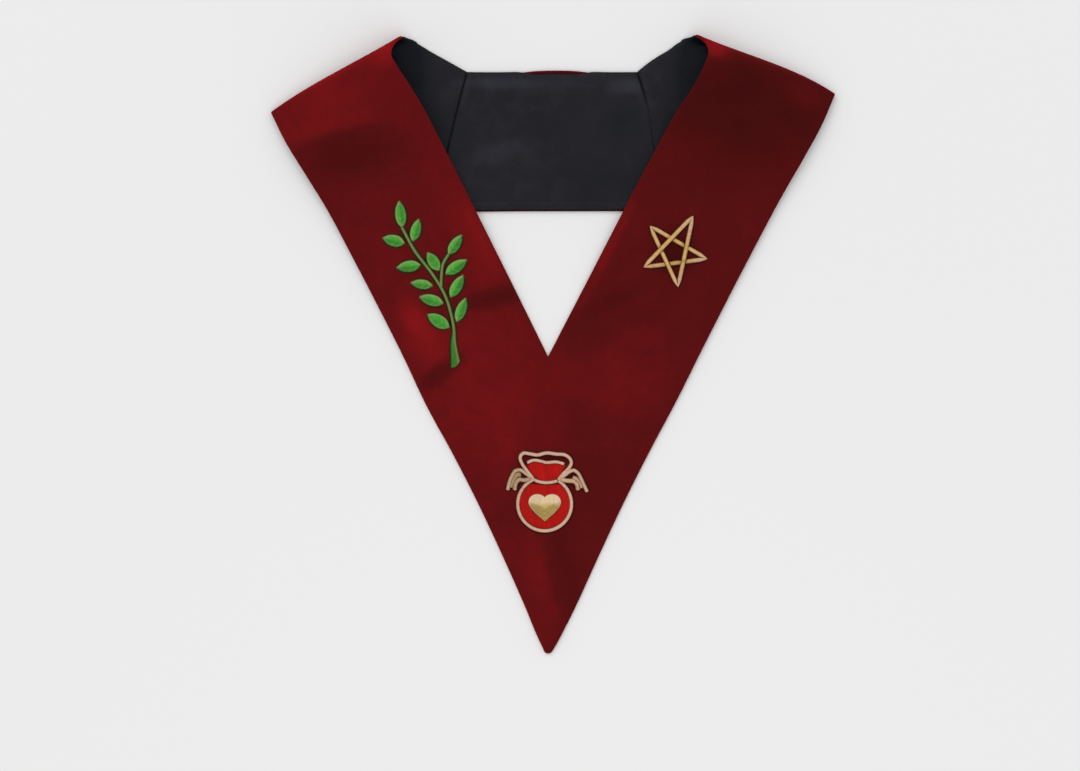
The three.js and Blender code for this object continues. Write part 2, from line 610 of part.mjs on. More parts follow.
const collar = new THREE.Group();
collar.add(
  frontVelvet,
  clothMesh("back_velvet", stripGeometry(backPlaces(), velvetSection), FINISH.velvet),
  clothMesh("front_lining", stripGeometry(frontPlaces(), liningSection), FINISH.satin),
  clothMesh("back_lining", stripGeometry(backPlaces(), liningSection), FINISH.satin),
  ...branchMeshes(),
  starMesh(),
  ...pouchMeshes(),
);

// The origin is the middle of the collar's box, on the surface that it lies on.
const box = new THREE.Box3().setFromObject(collar);
const middle = box.getCenter(new THREE.Vector3());
collar.position.set(-middle.x, -middle.y, -box.min.z);

export default collar;
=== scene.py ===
import math

import bpy
import numpy as np
from bpy.props import FloatProperty, FloatVectorProperty, PointerProperty
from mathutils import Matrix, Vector
from mathutils import noise
from mathutils.bvhtree import BVHTree


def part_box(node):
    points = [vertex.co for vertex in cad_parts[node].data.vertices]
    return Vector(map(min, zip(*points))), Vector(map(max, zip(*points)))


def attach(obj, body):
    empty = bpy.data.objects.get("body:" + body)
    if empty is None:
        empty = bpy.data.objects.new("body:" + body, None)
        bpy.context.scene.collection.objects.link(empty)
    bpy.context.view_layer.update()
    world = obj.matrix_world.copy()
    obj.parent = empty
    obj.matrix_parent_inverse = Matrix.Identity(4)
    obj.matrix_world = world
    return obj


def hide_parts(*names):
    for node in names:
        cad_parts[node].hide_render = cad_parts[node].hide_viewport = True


bl_info = {
    "name": "Velvet V Collar",
    "version": (1, 0, 0),
    "blender": (4, 5, 0),
    "location": "View3D > Sidebar > Collar",
    "description": "A velvet collar lined with satin, stitched with a branch, a star and a pouch",
    "category": "Object",
}

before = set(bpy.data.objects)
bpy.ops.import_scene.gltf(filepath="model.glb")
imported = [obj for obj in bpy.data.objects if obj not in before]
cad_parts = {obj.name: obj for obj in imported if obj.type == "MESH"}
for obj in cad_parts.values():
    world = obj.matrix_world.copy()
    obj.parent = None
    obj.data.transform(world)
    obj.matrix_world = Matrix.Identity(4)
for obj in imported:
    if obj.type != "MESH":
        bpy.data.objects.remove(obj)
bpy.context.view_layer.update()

# The cloth's sizes and its plan, in millimetres from the V's inner corner, as the part's source has
# them. across runs from 0 at the neck edge to 1 at the outer edge.
MM = 0.001
BAND_WIDTH = 102.0
CLEARANCE = 0.3
CLOTH = 2.2
OUTER_HEM = 5.0
NECK_HEM = 1.6
NECK_LENGTH = 209.0
NECK_WIDTH = 217.0
SHOULDER_RISE = 27.0
SHOULDER_BOW = 1.6
BACK_LENGTH = 125.0
SEAM_SLANT = 24.3
FOLD_ANGLE = 27.4
FOLD_LENGTH = BAND_WIDTH * 1.088
TIP_DROP = BAND_WIDTH * 2.14
TIP_RADIUS = 3.4
NECK_ROLL_RADIUS = 11.0
CORNER_ROLL_RADIUS = 1.5
CREST_SWING = 14.0
UNDER_SWING = 7.4
BULGE_PEAK = 6.75

# Where the made cloth differs a little from the solid: the fold sits inside the cloth's thickness,
# the shoulder is filled out where the roll ends, and the back piece arches where it is bare. Pairs
# are the places, in travel along the cloth, between which something comes in or goes out.
FOLD_INSET = 1.5
MOUTH_CORNER = 2.0
MOUTH_REACH = 0.2
MOUTH_COMES_IN = (1.45, 1.75)
BARE_MIDDLE = 0.52
BARE_ENDS = (0.1, 0.24)
BACK_ARCH = 1.6
BACK_ARCH_REACH = 0.22
BACK_DIP = 0.5
BACK_SAG = 0.3
LEFT_SAG = 3.0
LEFT_SAG_GOES = (0.1, 0.45)
BACK_NECK_HEM = 2.2
BACK_OUTER_HEM = 0.8
SEAM_GAP = 0.04
LINING_COMES_UP = (1.42, 1.6)
LINING_LOOSENS = (1.2, 1.7)
CREASES_END = (0.8, 0.98)
TIP_SETTLES = (0.96, 1.0)

# How many rows of points the front piece has in its tip, lappet, roll and shoulder, and how far
# from its seam the last ones are. The back piece has its own. Then how many points a row has on the
# velvet's face, its neck edge, its outer edge and its back, and on the lining's edge and face.
FRONT_ROWS = (9, 149, 24, 33)
ROWS_AT_SEAM = (0.022, 0.014, 0.008, 0.003, 0.0)
ROWS_REACH = 0.03
BACK_ROWS = 80
BACK_ROWS_AT_SEAM = (0.0, 0.002, 0.005, 0.009, 0.014)
BACK_ROWS_REACH = 0.02
FACE_POINTS = 54
NECK_FOLD_POINTS = 6
OUTER_FOLD_POINTS = 11
INNER_POINTS = 22
LINING_EDGE_POINTS = np.linspace(0, 0.08, 14)
LINING_FACE_POINTS = np.linspace(0.1, 1, 60)

# How wide the dip beside a seam is, in travel, on the front and the back piece, and how full the
# lining stays in each seam: at the outer edge, at the neck, and where it changes over.
SEAM_DIPS = (0.07, 0.024)
SEAM_AT_NECK = 0.35
LEFT_SEAM = (0.75, SEAM_AT_NECK, 0.1, 0.8)
RIGHT_SEAM = (0.92, SEAM_AT_NECK, 0.72, 0.95)

# The velvet's neck edge where the lining wraps it, and its hems: shares of the hem's width, and
# distances from the cloth's middle.
TUCK = 0.9
TUCKED_HEM = 2.4
TUCK_SINKS = 0.7
HEM_THREAD = 0.3
HEM_INSIDE = 0.1
HEM_LIP = -0.6
HEM_UNDERSIDE = (
    (0.28, -CLOTH / 2), (0.6, -CLOTH / 2), (0.88, -CLOTH / 2), (0.96, -0.95), (1.0, HEM_LIP),
    (1.0, HEM_INSIDE),
)

# The lining: its inner skin, its outer face where it is tight and how much further out where it is
# loose, the rounding of its edges as distances and shares of that, and the line of stitches.
LINING_SKIN = -0.2
LINING_TIGHT = 0.75
LINING_LOOSE = CLOTH / 2 + 0.35
LINING_STANDS_IN = 0.15
LINING_ROUNDING = ((0.45, 0.25), (0.12, 0.5), (0.0, 0.68), (0.25, 0.84), (0.8, 0.95), (1.8, 1.0))
LINING_ROUNDED = 3.0
LINING_WRAP = 0.62
LINING_WRAPPED_SKIN = 2.75
LINING_HOLLOW = 0.12
STITCH_LINE = 6.8
STITCH_WIDTH = 0.8
STITCH_DEPTH = 0.22

# How each lappet lies: share down it, how far the neck and outer edges stand in, in shares of the
# band's width, and how high the neck edge, middle and outer edge rise, in shares of the roll.
LEFT_LIE = (
    (0, 0, 0, 1, 1, 1),
    (0.05, 0.01, -0.002, 0.97, 1.02, 1.7),
    (0.11, 0.024, 0.02, 0.86, 0.98, 1.9),
    (0.18, 0.033, 0.045, 0.7, 0.8, 1.2),
    (0.26, 0.032, 0.052, 0.53, 0.58, 0.7),
    (0.35, 0.03, 0.056, 0.38, 0.38, 0.4),
    (0.45, 0.027, 0.055, 0.27, 0.23, 0.15),
    (0.54, 0.024, 0.044, 0.18, 0.13, 0),
    (0.63, 0.02, 0.056, 0.1, 0.05, 0),
    (0.72, 0.016, 0.057, 0.04, 0, 0),
    (0.82, 0.011, 0.043, 0, 0, 0),
    (0.91, 0.006, 0.022, 0, 0, 0),
    (0.96, 0.003, 0.005, 0, 0, 0),
)
RIGHT_LIE = (
    (0, 0, 0, 1, 1, 1),
    (0.05, -0.012, -0.014, 0.96, 1, 1.5),
    (0.11, -0.009, -0.006, 0.82, 0.9, 1.6),
    (0.18, 0.009, 0.01, 0.63, 0.68, 1),
    (0.26, 0.014, 0.017, 0.44, 0.46, 0.7),
    (0.35, 0.015, 0.021, 0.31, 0.32, 0.45),
    (0.45, 0.015, 0.021, 0.23, 0.22, 0.3),
    (0.54, 0.013, 0.018, 0.17, 0.14, 0.15),
    (0.63, 0.01, 0.025, 0.1, 0.07, 0.05),
    (0.72, 0.007, 0.024, 0.05, 0.02, 0),
    (0.82, 0.004, 0.01, 0, 0, 0),
    (0.91, 0.002, -0.007, 0, 0, 0),
    (0.96, 0, -0.008, 0, 0, 0),
)
LEFT = {
    "sign": -1, "neck_width": 0.996, "rise": 0.98, "bow": 0.2, "fold_angle": 1.13,
    "fold_bulge": 0.02, "back_length": 0.953, "slant": 1.06, "seam_bow": 0.3, "mouth_fill": 0.9,
    "lie": LEFT_LIE,
}
RIGHT = {
    "sign": 1, "neck_width": 1.004, "rise": 1.02, "bow": 1.4, "fold_angle": 0.867,
    "fold_bulge": 0.032, "back_length": 1.047, "slant": 0.94, "seam_bow": 2.0, "mouth_fill": 2.9,
    "lie": RIGHT_LIE,
}

# Shares across the cloth, places along one side of the front piece, and the step between the points
# that give the cloth's slope.
NECK = 0.0
OUTER = 1.0
CENTRE = 0.0
CREST = 1.0
UNDER = 2.0
SEAM = 3.0
STEP = 0.002

# Soft waves in the stiffened velvet, as lines in plan: start, end, width and height.
CREASES = (
    (-89, -18, -22, 42, 5.5, 0.7),
    (-118, 128, -64, 150, 9.0, -0.9),
    (88, 150, 150, 128, 10.0, -0.7),
    (38, 8, 84, -16, 8.0, 0.5),
    (-1, -125, 2, -205, 7.0, 0.6),
)

# How light the velvet is painted: a share of the way from its darkest tone to its lightest on each
# lappet, and patches painted lighter or darker. The patches are painted light and shade, partly
# brushed pile: lighter near the folds, darker where the cloth slopes away from the light, and
# darker round the star and the pouch. For each patch: its middle in plan, how far it reaches along
# and across its turn, the turn in degrees, and the change.
LEFT_LAPPET_LEVEL = 0.55
RIGHT_LAPPET_LEVEL = 0.48
LAPPET_LEVEL_CHANGE = (-6.0, 26.0)
# Painted shade in the velvet's seams and along the back piece's lower edge: how dark, and how far
# it reaches.
PAINTED_VELVET_SHADE = -0.6
PILE_SEAM_REACH = 2.0
LOWER_EDGE_SHADE = (5.0, 3.0)
# A painted highlight where the velvet bends over: none where its face points this nearly straight
# up, full where it leans this far.
BEND_HIGHLIGHT_SLOPES = (0.93, 0.4)
PILE_AND_PAINTED_LIGHT = (
    (-168, 187, 42, 26, 30, 0.1),
    (-112, 224, 18, 8, 30, 0.24),
    (-147, 146, 44, 15, 13, -0.19),
    (-153, 159, 38, 6, 14, -0.1),
    (-155, 171, 38, 6, 14, 0.05),
    (3, 208, 26, 6, 0, -0.22),
    (-140, 118, 40, 26, 20, -0.05),
    (-56, 84, 42, 13, -65, 0.11),
    (-48, 86, 34, 6, -65, 0.09),
    (-40, 43, 24, 7, 12, -0.26),
    (-92, 14, 22, 12, -62, 0.18),
    (-99, 30, 14, 8, -62, 0.14),
    (-78, -11, 20, 7, 37, -0.22),
    (-46, -24, 60, 38, -60, 0.1),
    (42, 74, 45, 5, 64, 0.15),
    (49, -21, 40, 28, 0, 0.11),
    (46, 40, 34, 7, 27, -0.1),
    (75, 16, 15, 10, 0, 0.08),
    (145, 183, 76, 42, -8, -0.26),
    (112, 130, 40, 16, -6, -0.06),
    (121, 224, 13, 6, -24, 0.36),
    (190, 190, 16, 9, -24, 0.12),
    (11, -157, 40, 11, -74, -0.11),
    (-7, -152, 44, 9, -74, 0.05),
    (92.9, 77, 15, 15, 0, -0.3),
    (-2.4, -109, 31, 26, 0, -0.07),
    (-1.4, -74.8, 17, 3.4, 0, -0.4),
    (-21.8, -88.6, 4.5, 4, 0, -0.3),
    (18.8, -88.6, 4.5, 4, 0, -0.3),
)

# Painted light and shade on the satin, set in the same way: painted shade inside the rolls, in the
# seams and where it turns down over its edges, and painted highlights under its top edge.
SATIN_LEVEL = 0.5
BEHIND_MARGIN = 5.0
SATIN_SEAM_SHADE = -0.42
SATIN_SEAM_REACH = 1.4
SATIN_TURNED_DOWN_SHADE = -0.65
SATIN_TURNS_DOWN = (0.97, 0.6)
RIGHT_SEAM_FADES = (197.0, 183.0)
RIGHT_SEAM_REMAINS = 0.15
SATIN_PAINTED_LIGHT = (
    (-107, 225, 30, 14, -64, -0.72),
    (-90, 186, 40, 8, -64, -0.16),
    (112, 226, 30, 14, 63, -0.72),
    (98, 190, 38, 10, 63, -0.16),
    (-74, 160, 22, 14, -64, -0.06),
    (-38, 201, 26, 5, 0, 0.24),
    (57, 199, 14, 6, 0, 0.28),
    (4, 201, 30, 6, 0, 0.1),
    (-62, 196, 4, 16, -8, 0.16),
    (-38, 150, 22, 8, 20, 0.14),
    (10, 168, 26, 12, 0, -0.08),
    (54, 172, 16, 18, 0, -0.22),
    (40, 128, 26, 14, 0, -0.1),
    (-6, 128, 24, 14, 0, 0.02),
    (70, 190, 5, 20, 8, 0.1),
)

# Embroidery, in millimetres and in shares of each piece's own size. Threads are painted paler on
# the side that faces this way in plan, towards the light.
LIT_SIDE = np.array([-0.6, 0.8])
CORD_WIDTH = 3.1
POUCH_CORD_WIDTH = 3.0
CORD_HEIGHT = 1.7
CORD_SIDES = 20
CORD_STRANDS = 3
CORD_STEP = 0.22
CORD_WAIST = 0.86
SUNK = 0.25
# How far the dark skirt round the stitches reaches: painted shadow round the embroidery, partly
# pile pressed by the stitches.
PRESSED_AND_SHADOW_SKIRT = 0.8
SATIN_HEIGHT = 1.15
LOOK_DOWN_FROM = 80.0
ROW_INSET = 0.02
CURVE_POINTS = 80

# How far in from its edges a stitched pad and the threads on it reach their height, how deep the
# pad's underside is, and how long a row of stitches is before it counts as broad.
PAD_SHOULDER = 0.55
THREAD_SHOULDER = 0.35
PAD_UNDERSIDE = 0.15
BROAD_ROW = 3.0
BRANCH_HEIGHT = 102.5
BRANCH_FOOT = (-65.4, -7.7)
STEM_WIDTH = 3.0
STEM_END_WIDTH = 7.4
STEM_FLARE = 0.24
STEM_CURVE = (
    (-0.022, 0), (-0.038, 0.16), (-0.037, 0.28), (-0.094, 0.5), (-0.186, 0.66),
    (-0.315, 0.83), (-0.408, 1),
)
TWIG_CURVE = ((-0.128, 0.565), (-0.124, 0.66), (-0.112, 0.74), (-0.072, 0.808))
STEM_COLUMNS = 21
LEAF_ROWS = 100
LEAF_COLUMNS = 41
LEAF_GROOVE = 0.45
LEAF_LENGTH = 17.6
LEAF_WIDTH = 9.2
LEAF_HALVES = (
    (0, 0.03), (0.05, 0.17), (0.14, 0.33), (0.3, 0.47), (0.5, 0.5),
    (0.7, 0.43), (0.86, 0.28), (0.96, 0.11), (1, 0),
)

# Each leaf's stalk, place along it, turn in degrees, standing off it, length and width.
LEAVES = (
    ("stem", 0.26, 51, 0.08, 1.07, 1.08),
    ("stem", 0.29, -31, 0.05, 1.08, 0.9),
    ("stem", 0.43, 56, 0.08, 1.05, 0.98),
    ("stem", 0.45, -51, 0.07, 1.08, 0.95),
    ("stem", 0.57, 50, 0.15, 0.94, 0.85),
    ("stem", 0.63, -1, 0.21, 0.91, 0.97),
    ("stem", 0.73, 58, 0.05, 1.02, 0.98),
    ("stem", 0.885, -44, 0.02, 0.98, 0.9),
    ("stem", 0.9, 49, 0.1, 0.95, 1.0),
    ("stem", 1.0, -22, -0.13, 1.13, 0.94),
    ("twig", 0.4, -51, 0.06, 1.07, 1.0),
    ("twig", 1.0, -3, -0.13, 1.0, 0.9),
)
STAR_MIDDLE = (92.9, 77.0)
STAR_RADIUS = 26.5
STAR_TIPS = ((62.5, 1.11), (-12.8, 0.93), (-84.4, 0.99), (-153, 0.96), (134, 0.985))
STAR_CROSSINGS = (0.385, 0.615)
STAR_OVER = ((1, 1), (0, 0), (1, 0), (1, 1), (0, 0))
STAR_HUMPS = (-0.45, 1.0)
STAR_HUMP_REACH = 2.7
STAR_CORD_WIDTH = CORD_WIDTH * 1.12
STAR_POINT = 5.5
POUCH_MIDDLE = (-2.4, -109.9)
POUCH_SIZE = 20.6
POUCH_RADIUS = 19.7
POUCH_ROUND_RISE = 1.5
POUCH_UNDER_CORD = 0.5
POUCH_HEIGHT = 0.75
POUCH_TOP = 0.82
POUCH_GRID = (170, 90)
POUCH_NECK_GRID = (120, 40)
POUCH_NECK_ANGLES = (111, 420)
MOUTH_CURVE = (
    (-0.4, 0.96), (-0.63, 1.26), (-0.81, 1.52), (-0.87, 1.74), (-0.76, 1.88),
    (-0.53, 1.86), (-0.25, 1.82), (0.06, 1.89), (0.42, 1.85), (0.72, 1.82),
    (0.9, 1.69), (0.95, 1.53), (0.87, 1.36), (0.65, 1.13), (0.48, 0.92),
)
LIP_CURVE = ((-0.63, 1.54), (-0.4, 1.63), (-0.14, 1.6), (0.06, 1.55), (0.42, 1.57), (0.7, 1.5))
TIE_CURVE = ((-0.4, 0.95), (-0.24, 0.88), (0.01, 0.835), (0.26, 0.85), (0.46, 0.9))
NECK_FILL_LOW = (
    (-0.66, 1.44), (-0.52, 1.22), (-0.36, 1.0), (-0.2, 0.9), (0.01, 0.84), (0.3, 0.87),
    (0.46, 0.99), (0.7, 1.32), (0.76, 1.42),
)
NECK_FILL_HIGH = (
    (-0.66, 1.48), (-0.4, 1.6), (-0.14, 1.58), (0.06, 1.53), (0.42, 1.55), (0.76, 1.46),
)

# The strands of each knot: width and height in shares of the outline's cord, how olive, and course.
LEFT_KNOT = (
    (1.05, 1.0, 0.3, (
        (-0.46, 1.01), (-0.68, 1.16), (-0.86, 1.28), (-1.04, 1.25), (-1.17, 1.06), (-1.26, 0.83),
        (-1.32, 0.56),
    )),
    (1.5, 0.8, 0.85, ((-0.84, 1.12), (-0.99, 1.1), (-1.09, 0.97), (-1.17, 0.8), (-1.22, 0.66))),
    (1.2, 1.2, 0.55, ((-0.5, 0.97), (-0.73, 0.92), (-0.9, 0.94), (-1.02, 0.82), (-1.07, 0.56))),
)
RIGHT_KNOT = (
    (1.05, 1.0, 0.25, (
        (0.53, 0.97), (0.73, 1.11), (0.89, 1.23), (1.04, 1.27), (1.19, 1.17), (1.3, 0.97),
        (1.4, 0.75), (1.52, 0.5),
    )),
    (1.4, 0.8, 0.85, ((0.98, 1.0), (1.12, 0.96), (1.24, 0.8), (1.32, 0.64))),
    (1.25, 1.2, 0.45, ((0.56, 0.95), (0.82, 0.9), (1.03, 0.88), (1.15, 0.77), (1.19, 0.56))),
)
HEART_WIDTH = 24.0
HEART_HEIGHT = 20.5
HEART_BELOW_MIDDLE = 1.3
HEART_CHANGE = 0.2
HEART_ROWS = 130
HEART_COLUMNS = 110
HEART_LOWER = ((0, -1), (0.5, -0.5), (1, -0.05), (1, 0.4))
HEART_UPPER = ((0, 0.8), (0.25, 1.16), (1, 1.12), (1, 0.4))

# The stage: the floor in metres, the lights' names, strengths, spreads, leans and headings in
# degrees, and the picture's middle in plan.
FLOOR_SIZE = 6.0
FLOOR_BELOW = 0.0002
ROOM_LIGHT = 0.8
LIGHTS = (("key_light", 0.72, 50.0, 42.0, 115.0), ("fill_light", 0.16, 70.0, 30.0, 300.0))
PICTURE_MIDDLE = (-5.88, -21.3, 0.0)


def linear(code):
    """An sRGB hex colour as the linear red, green and blue that the shaders take."""
    parts = [int(code[start:start + 2], 16) / 255 for start in (1, 3, 5)]
    return tuple(c / 12.92 if c <= 0.04045 else ((c + 0.055) / 1.055) ** 2.4 for c in parts)


def unit(vectors):
    return vectors / np.linalg.norm(vectors, axis=-1, keepdims=True)


def smooth_step(low, high, value):
    share = np.clip((value - low) / (high - low), 0, 1)
    return share * share * (3 - 2 * share)


def mixed(start, end, share):
    return start + (end - start) * share


def stacked(*parts):
    return np.stack(np.broadcast_arrays(*parts), axis=-1)


# The strip of cloth


def lie_at(side, down):
    """The columns of a side's lie at shares down the lappet, on one smooth curve."""
    rows = side["lie"]
    stops = np.array([row[0] for row in rows] + [1.0])
    values = np.array([row[1:] for row in rows] + [rows[-1][1:]])
    last = len(stops) - 1
    cell = np.clip(np.searchsorted(stops, down, side="right"), 1, last)
    start, end = stops[cell - 1], stops[cell]
    before = np.where(cell > 1, stops[cell - 2], end)
    after = np.where(cell < last, stops[np.minimum(cell + 1, last)], start)
    row_before = np.where(cell > 1, cell - 2, cell)
    row_after = np.where(cell < last, cell + 1, cell - 1)
    pull_before = (end - start) / 2 / (start - before)
    pull_after = (end - start) / 2 / (after - end)
    share = (down - start) / (end - start)
    square, cube = share ** 2, share ** 3
    from_start = 1 + pull_before * share
    weights = (
        -pull_before * (cube - 2 * square + share),
        (1 + pull_before) * cube - (1.5 + 2 * pull_before) * square + from_start - 0.5 * share,
        (-1 - pull_after) * cube + (1.5 + pull_after) * square + 0.5 * share,
        pull_after * (cube - square),
    )
    picked = (values[row_before], values[cell - 1], values[cell], values[row_after])
    found = sum(weight[..., None] * value for weight, value in zip(weights, picked))
    return np.moveaxis(found, -1, 0)


def roll_radius(across):
    return mixed(NECK_ROLL_RADIUS, CORNER_ROLL_RADIUS, across)


def roll_point(side, across, turn):
    """A point of the shoulder roll: turn is 0 on its crest and pi underneath."""
    sign = side["sign"]
    angle = math.radians(FOLD_ANGLE * side["fold_angle"])
    corner_x = sign * NECK_WIDTH / 2 * side["neck_width"]
    corner_y = NECK_LENGTH + SHOULDER_RISE * side["rise"]
    along = (sign * math.cos(angle), -math.sin(angle))
    inward = (-sign * math.sin(angle), -math.cos(angle))
    radius = roll_radius(across)
    lean = np.cos(turn)
    mean_swing = (CREST_SWING + UNDER_SWING) / 2
    upper = mean_swing * lean + (CREST_SWING - UNDER_SWING) / 2 * lean * lean
    lower = mean_swing * lean * (1 + lean) ** 3 - UNDER_SWING * np.abs(lean) ** 2.2
    swing = np.where(lean < 0, lower, upper)
    bulge = BULGE_PEAK * across * across * (1 - across) * side["fold_bulge"] * FOLD_LENGTH
    out = across * FOLD_LENGTH + (1 - across) * swing
    back = radius * (1 - np.sin(turn)) - bulge + FOLD_INSET * (1 - across ** 3)
    x = corner_x + along[0] * out + inward[0] * back
    y = corner_y + along[1] * out + inward[1] * back
    return stacked(x, y, CLOTH / 2 + radius * (1 + lean))


def outer_edge(side, down):
    """The straight outer edge and the small arc that ends it at the tip."""
    crest = roll_point(side, OUTER, 0.0)
    half = math.atan2(abs(crest[0]), crest[1] + TIP_DROP)
    aim = TIP_RADIUS - TIP_DROP - TIP_RADIUS / math.sin(half)
    arc_share = TIP_RADIUS / math.tan(half) / math.hypot(crest[0], crest[1] - aim)
    angle = mixed(half, math.pi / 2, np.clip((down - 1 + arc_share) / arc_share, 0, 1))
    arc_x = side["sign"] * TIP_RADIUS * np.cos(angle)
    arc_y = TIP_RADIUS - TIP_DROP - TIP_RADIUS * np.sin(angle)
    straight = down <= 1 - arc_share
    x = np.where(straight, crest[0] * (1 - down), arc_x)
    y = np.where(straight, mixed(crest[1], aim, down), arc_y)
    return x, y, arc_share


def lappet_point(side, across, down):
    crest = roll_point(side, across, 0.0)
    neck = roll_point(side, NECK, 0.0)
    outer = roll_point(side, OUTER, 0.0)
    edge_x, edge_y, _ = outer_edge(side, down)
    bend_x = crest[..., 0] - mixed(neck[0], outer[0], across)
    bend_y = crest[..., 1] - mixed(neck[1], outer[1], across)
    x = mixed(neck[0] * (1 - down), edge_x, across) + bend_x * (1 - down)
    y = mixed(neck[1] * (1 - down), edge_y, across) + bend_y * (1 - down)
    neck_in, outer_in, neck_rise, middle_rise, outer_rise = lie_at(side, down)
    length = math.hypot(neck[0], neck[1])
    settled = 1 - smooth_step(*TIP_SETTLES, down)
    shift = -BAND_WIDTH * mixed(neck_in, outer_in, across) * settled
    x = x + shift * side["sign"] * neck[1] / length
    y = y - shift * abs(neck[0]) / length
    rise = (
        neck_rise * roll_radius(NECK) * (1 - across) * (1 - 2 * across)
        + middle_rise * roll_radius(0.5) * 4 * across * (1 - across)
        + outer_rise * roll_radius(OUTER) * across * (2 * across - 1)
    )
    return stacked(x, y, CLOTH / 2 + 2 * np.maximum(0, rise))


def seam_point(side, across, inset):
    bow = side["seam_bow"] * np.sin(math.pi * np.clip(across / 0.5, 0, 1))
    x = BACK_LENGTH / 2 * side["back_length"] + SEAM_SLANT * side["slant"] * across - inset + bow
    return stacked(side["sign"] * x, NECK_LENGTH - BAND_WIDTH * across, CLOTH / 2)


def front_point(side, across, travel):
    """The middle of the front piece's cloth, from the centre line over the roll to the seam."""
    across, travel = np.broadcast_arrays(np.asarray(across, float), np.asarray(travel, float))
    lappet = lappet_point(side, across, np.clip(1 - travel, 0, 1))
    roll = roll_point(side, across, np.clip(travel - CREST, 0, 1) * math.pi)
    back = np.clip(travel - UNDER, 0, 1)
    under = roll_point(side, across, np.full_like(travel, math.pi))
    shoulder = mixed(under, seam_point(side, across, -SEAM_GAP / 2), back[..., None])
    shoulder[..., 1] += 4 * back * (1 - back) * (1 - across) * side["bow"] * SHOULDER_BOW
    on_lappet = (travel <= CREST)[..., None]
    on_roll = (travel <= UNDER)[..., None]
    point = np.where(on_lappet, lappet, np.where(on_roll, roll, shoulder))
    near_corner = np.exp(-((travel - MOUTH_CORNER) / MOUTH_REACH) ** 2)
    near_corner = near_corner * smooth_step(*MOUTH_COMES_IN, travel)
    point[..., 1] += side["mouth_fill"] * near_corner * (1 - across) ** 2
    return point


def back_point(side, across, travel):
    """The middle of the back piece's cloth, from the left seam to the right one."""
    across, travel = np.broadcast_arrays(np.asarray(across, float), np.asarray(travel, float))
    left = seam_point(LEFT, across, SEAM_GAP / 2)
    right = seam_point(RIGHT, across, SEAM_GAP / 2)
    point = mixed(left, right, travel[..., None])
    swell = np.clip(np.sin(math.pi * travel), 0, 1)
    arch = BACK_ARCH * np.exp(-((travel - BARE_MIDDLE) / BACK_ARCH_REACH) ** 2) - BACK_DIP * swell
    sag = BACK_SAG * np.sqrt(swell) * mixed(LEFT_SAG, 1, smooth_step(*LEFT_SAG_GOES, travel))
    point[..., 1] += arch * (1 - across) ** 3 - sag * across ** 3
    return point


def line_distance(x, y, line):
    start_x, start_y, end_x, end_y = line
    run_x, run_y = end_x - start_x, end_y - start_y
    share = ((x - start_x) * run_x + (y - start_y) * run_y) / (run_x ** 2 + run_y ** 2)
    share = np.clip(share, 0, 1)
    return np.hypot(x - start_x - share * run_x, y - start_y - share * run_y)


def wave_height(points, travel):
    """How far the soft creases lift the lappets."""
    height = np.zeros(points.shape[:-1])
    for *line, width, rise in CREASES:
        near = line_distance(points[..., 0], points[..., 1], line) / width
        height += rise * np.exp(-near ** 2)
    height = np.maximum(height, CLOTH / 2 - points[..., 2])
    return height * (1 - smooth_step(*CREASES_END, travel))


def strip_points(point_at, side, shares, travel, offsets, ends):
    """Carries shares across the cloth off its middle, positive offsets being the velvet side."""
    travel = np.broadcast_to(travel[:, None], shares.shape)
    before = point_at(side, shares, np.maximum(ends[0], travel - STEP))
    after = point_at(side, shares, np.minimum(ends[1], travel + STEP))
    low = point_at(side, np.maximum(0, shares - STEP), travel)
    high = point_at(side, np.minimum(1, shares + STEP), travel)
    normal = unit(np.cross(unit(after - before), high - low)) * -side["sign"]
    middle = point_at(side, shares, travel)
    points = middle + normal * offsets[..., None]
    if point_at is front_point:
        points[..., 2] += wave_height(middle, travel)
    return points


def edge_widths(point_at, side, travel, ends):
    """The band's width square to its neck edge and to its outer edge, at each place along it."""
    outermost = point_at(side, np.full_like(travel, OUTER), travel)
    row = outermost - point_at(side, np.full_like(travel, NECK), travel)
    widths = []
    for edge in (NECK, OUTER):
        share = np.full_like(travel, edge)
        run = point_at(side, share, np.minimum(ends[1], travel + STEP))
        run = run - point_at(side, share, np.maximum(ends[0], travel - STEP))
        widths.append(np.linalg.norm(np.cross(row, unit(run)), axis=-1))
    return widths


def travels(side):
    """Places along one side of the front piece, closer together where the cloth turns."""
    arc_share = outer_edge(side, 0.5)[2]
    stops = (0, arc_share, CREST, UNDER, SEAM - ROWS_REACH)
    parts = []
    for start, end, rows in zip(stops, stops[1:], FRONT_ROWS):
        parts.append(np.linspace(start, end, rows + 1)[1:])
    return np.concatenate([*parts, SEAM - np.array(ROWS_AT_SEAM)])


def shown_lining(point_at, travel):
    """1 where the lining lies uppermost and wraps the neck edge, and 0 where the velvet does."""
    if point_at is front_point:
        return smooth_step(*LINING_COMES_UP, travel)
    return smooth_step(*BARE_ENDS, np.abs(travel - BARE_MIDDLE))


def hem_widths(point_at):
    """How wide the velvet's hems are at the neck edge, where it is bare, and at the outer edge."""
    if point_at is front_point:
        return NECK_HEM, OUTER_HEM
    return BACK_NECK_HEM, BACK_OUTER_HEM


def seam_fullness(point_at, travel):
    """0 in the seams, rising to 1 where the cloth is full again beside them."""
    front_dip, back_dip = SEAM_DIPS
    if point_at is front_point:
        to_seam = (SEAM - travel) / front_dip
    else:
        to_seam = np.minimum(travel, 1 - travel) / back_dip
    return np.sqrt(np.clip(1 - (1 - np.clip(to_seam, 0, 1)) ** 2, 0, 1))


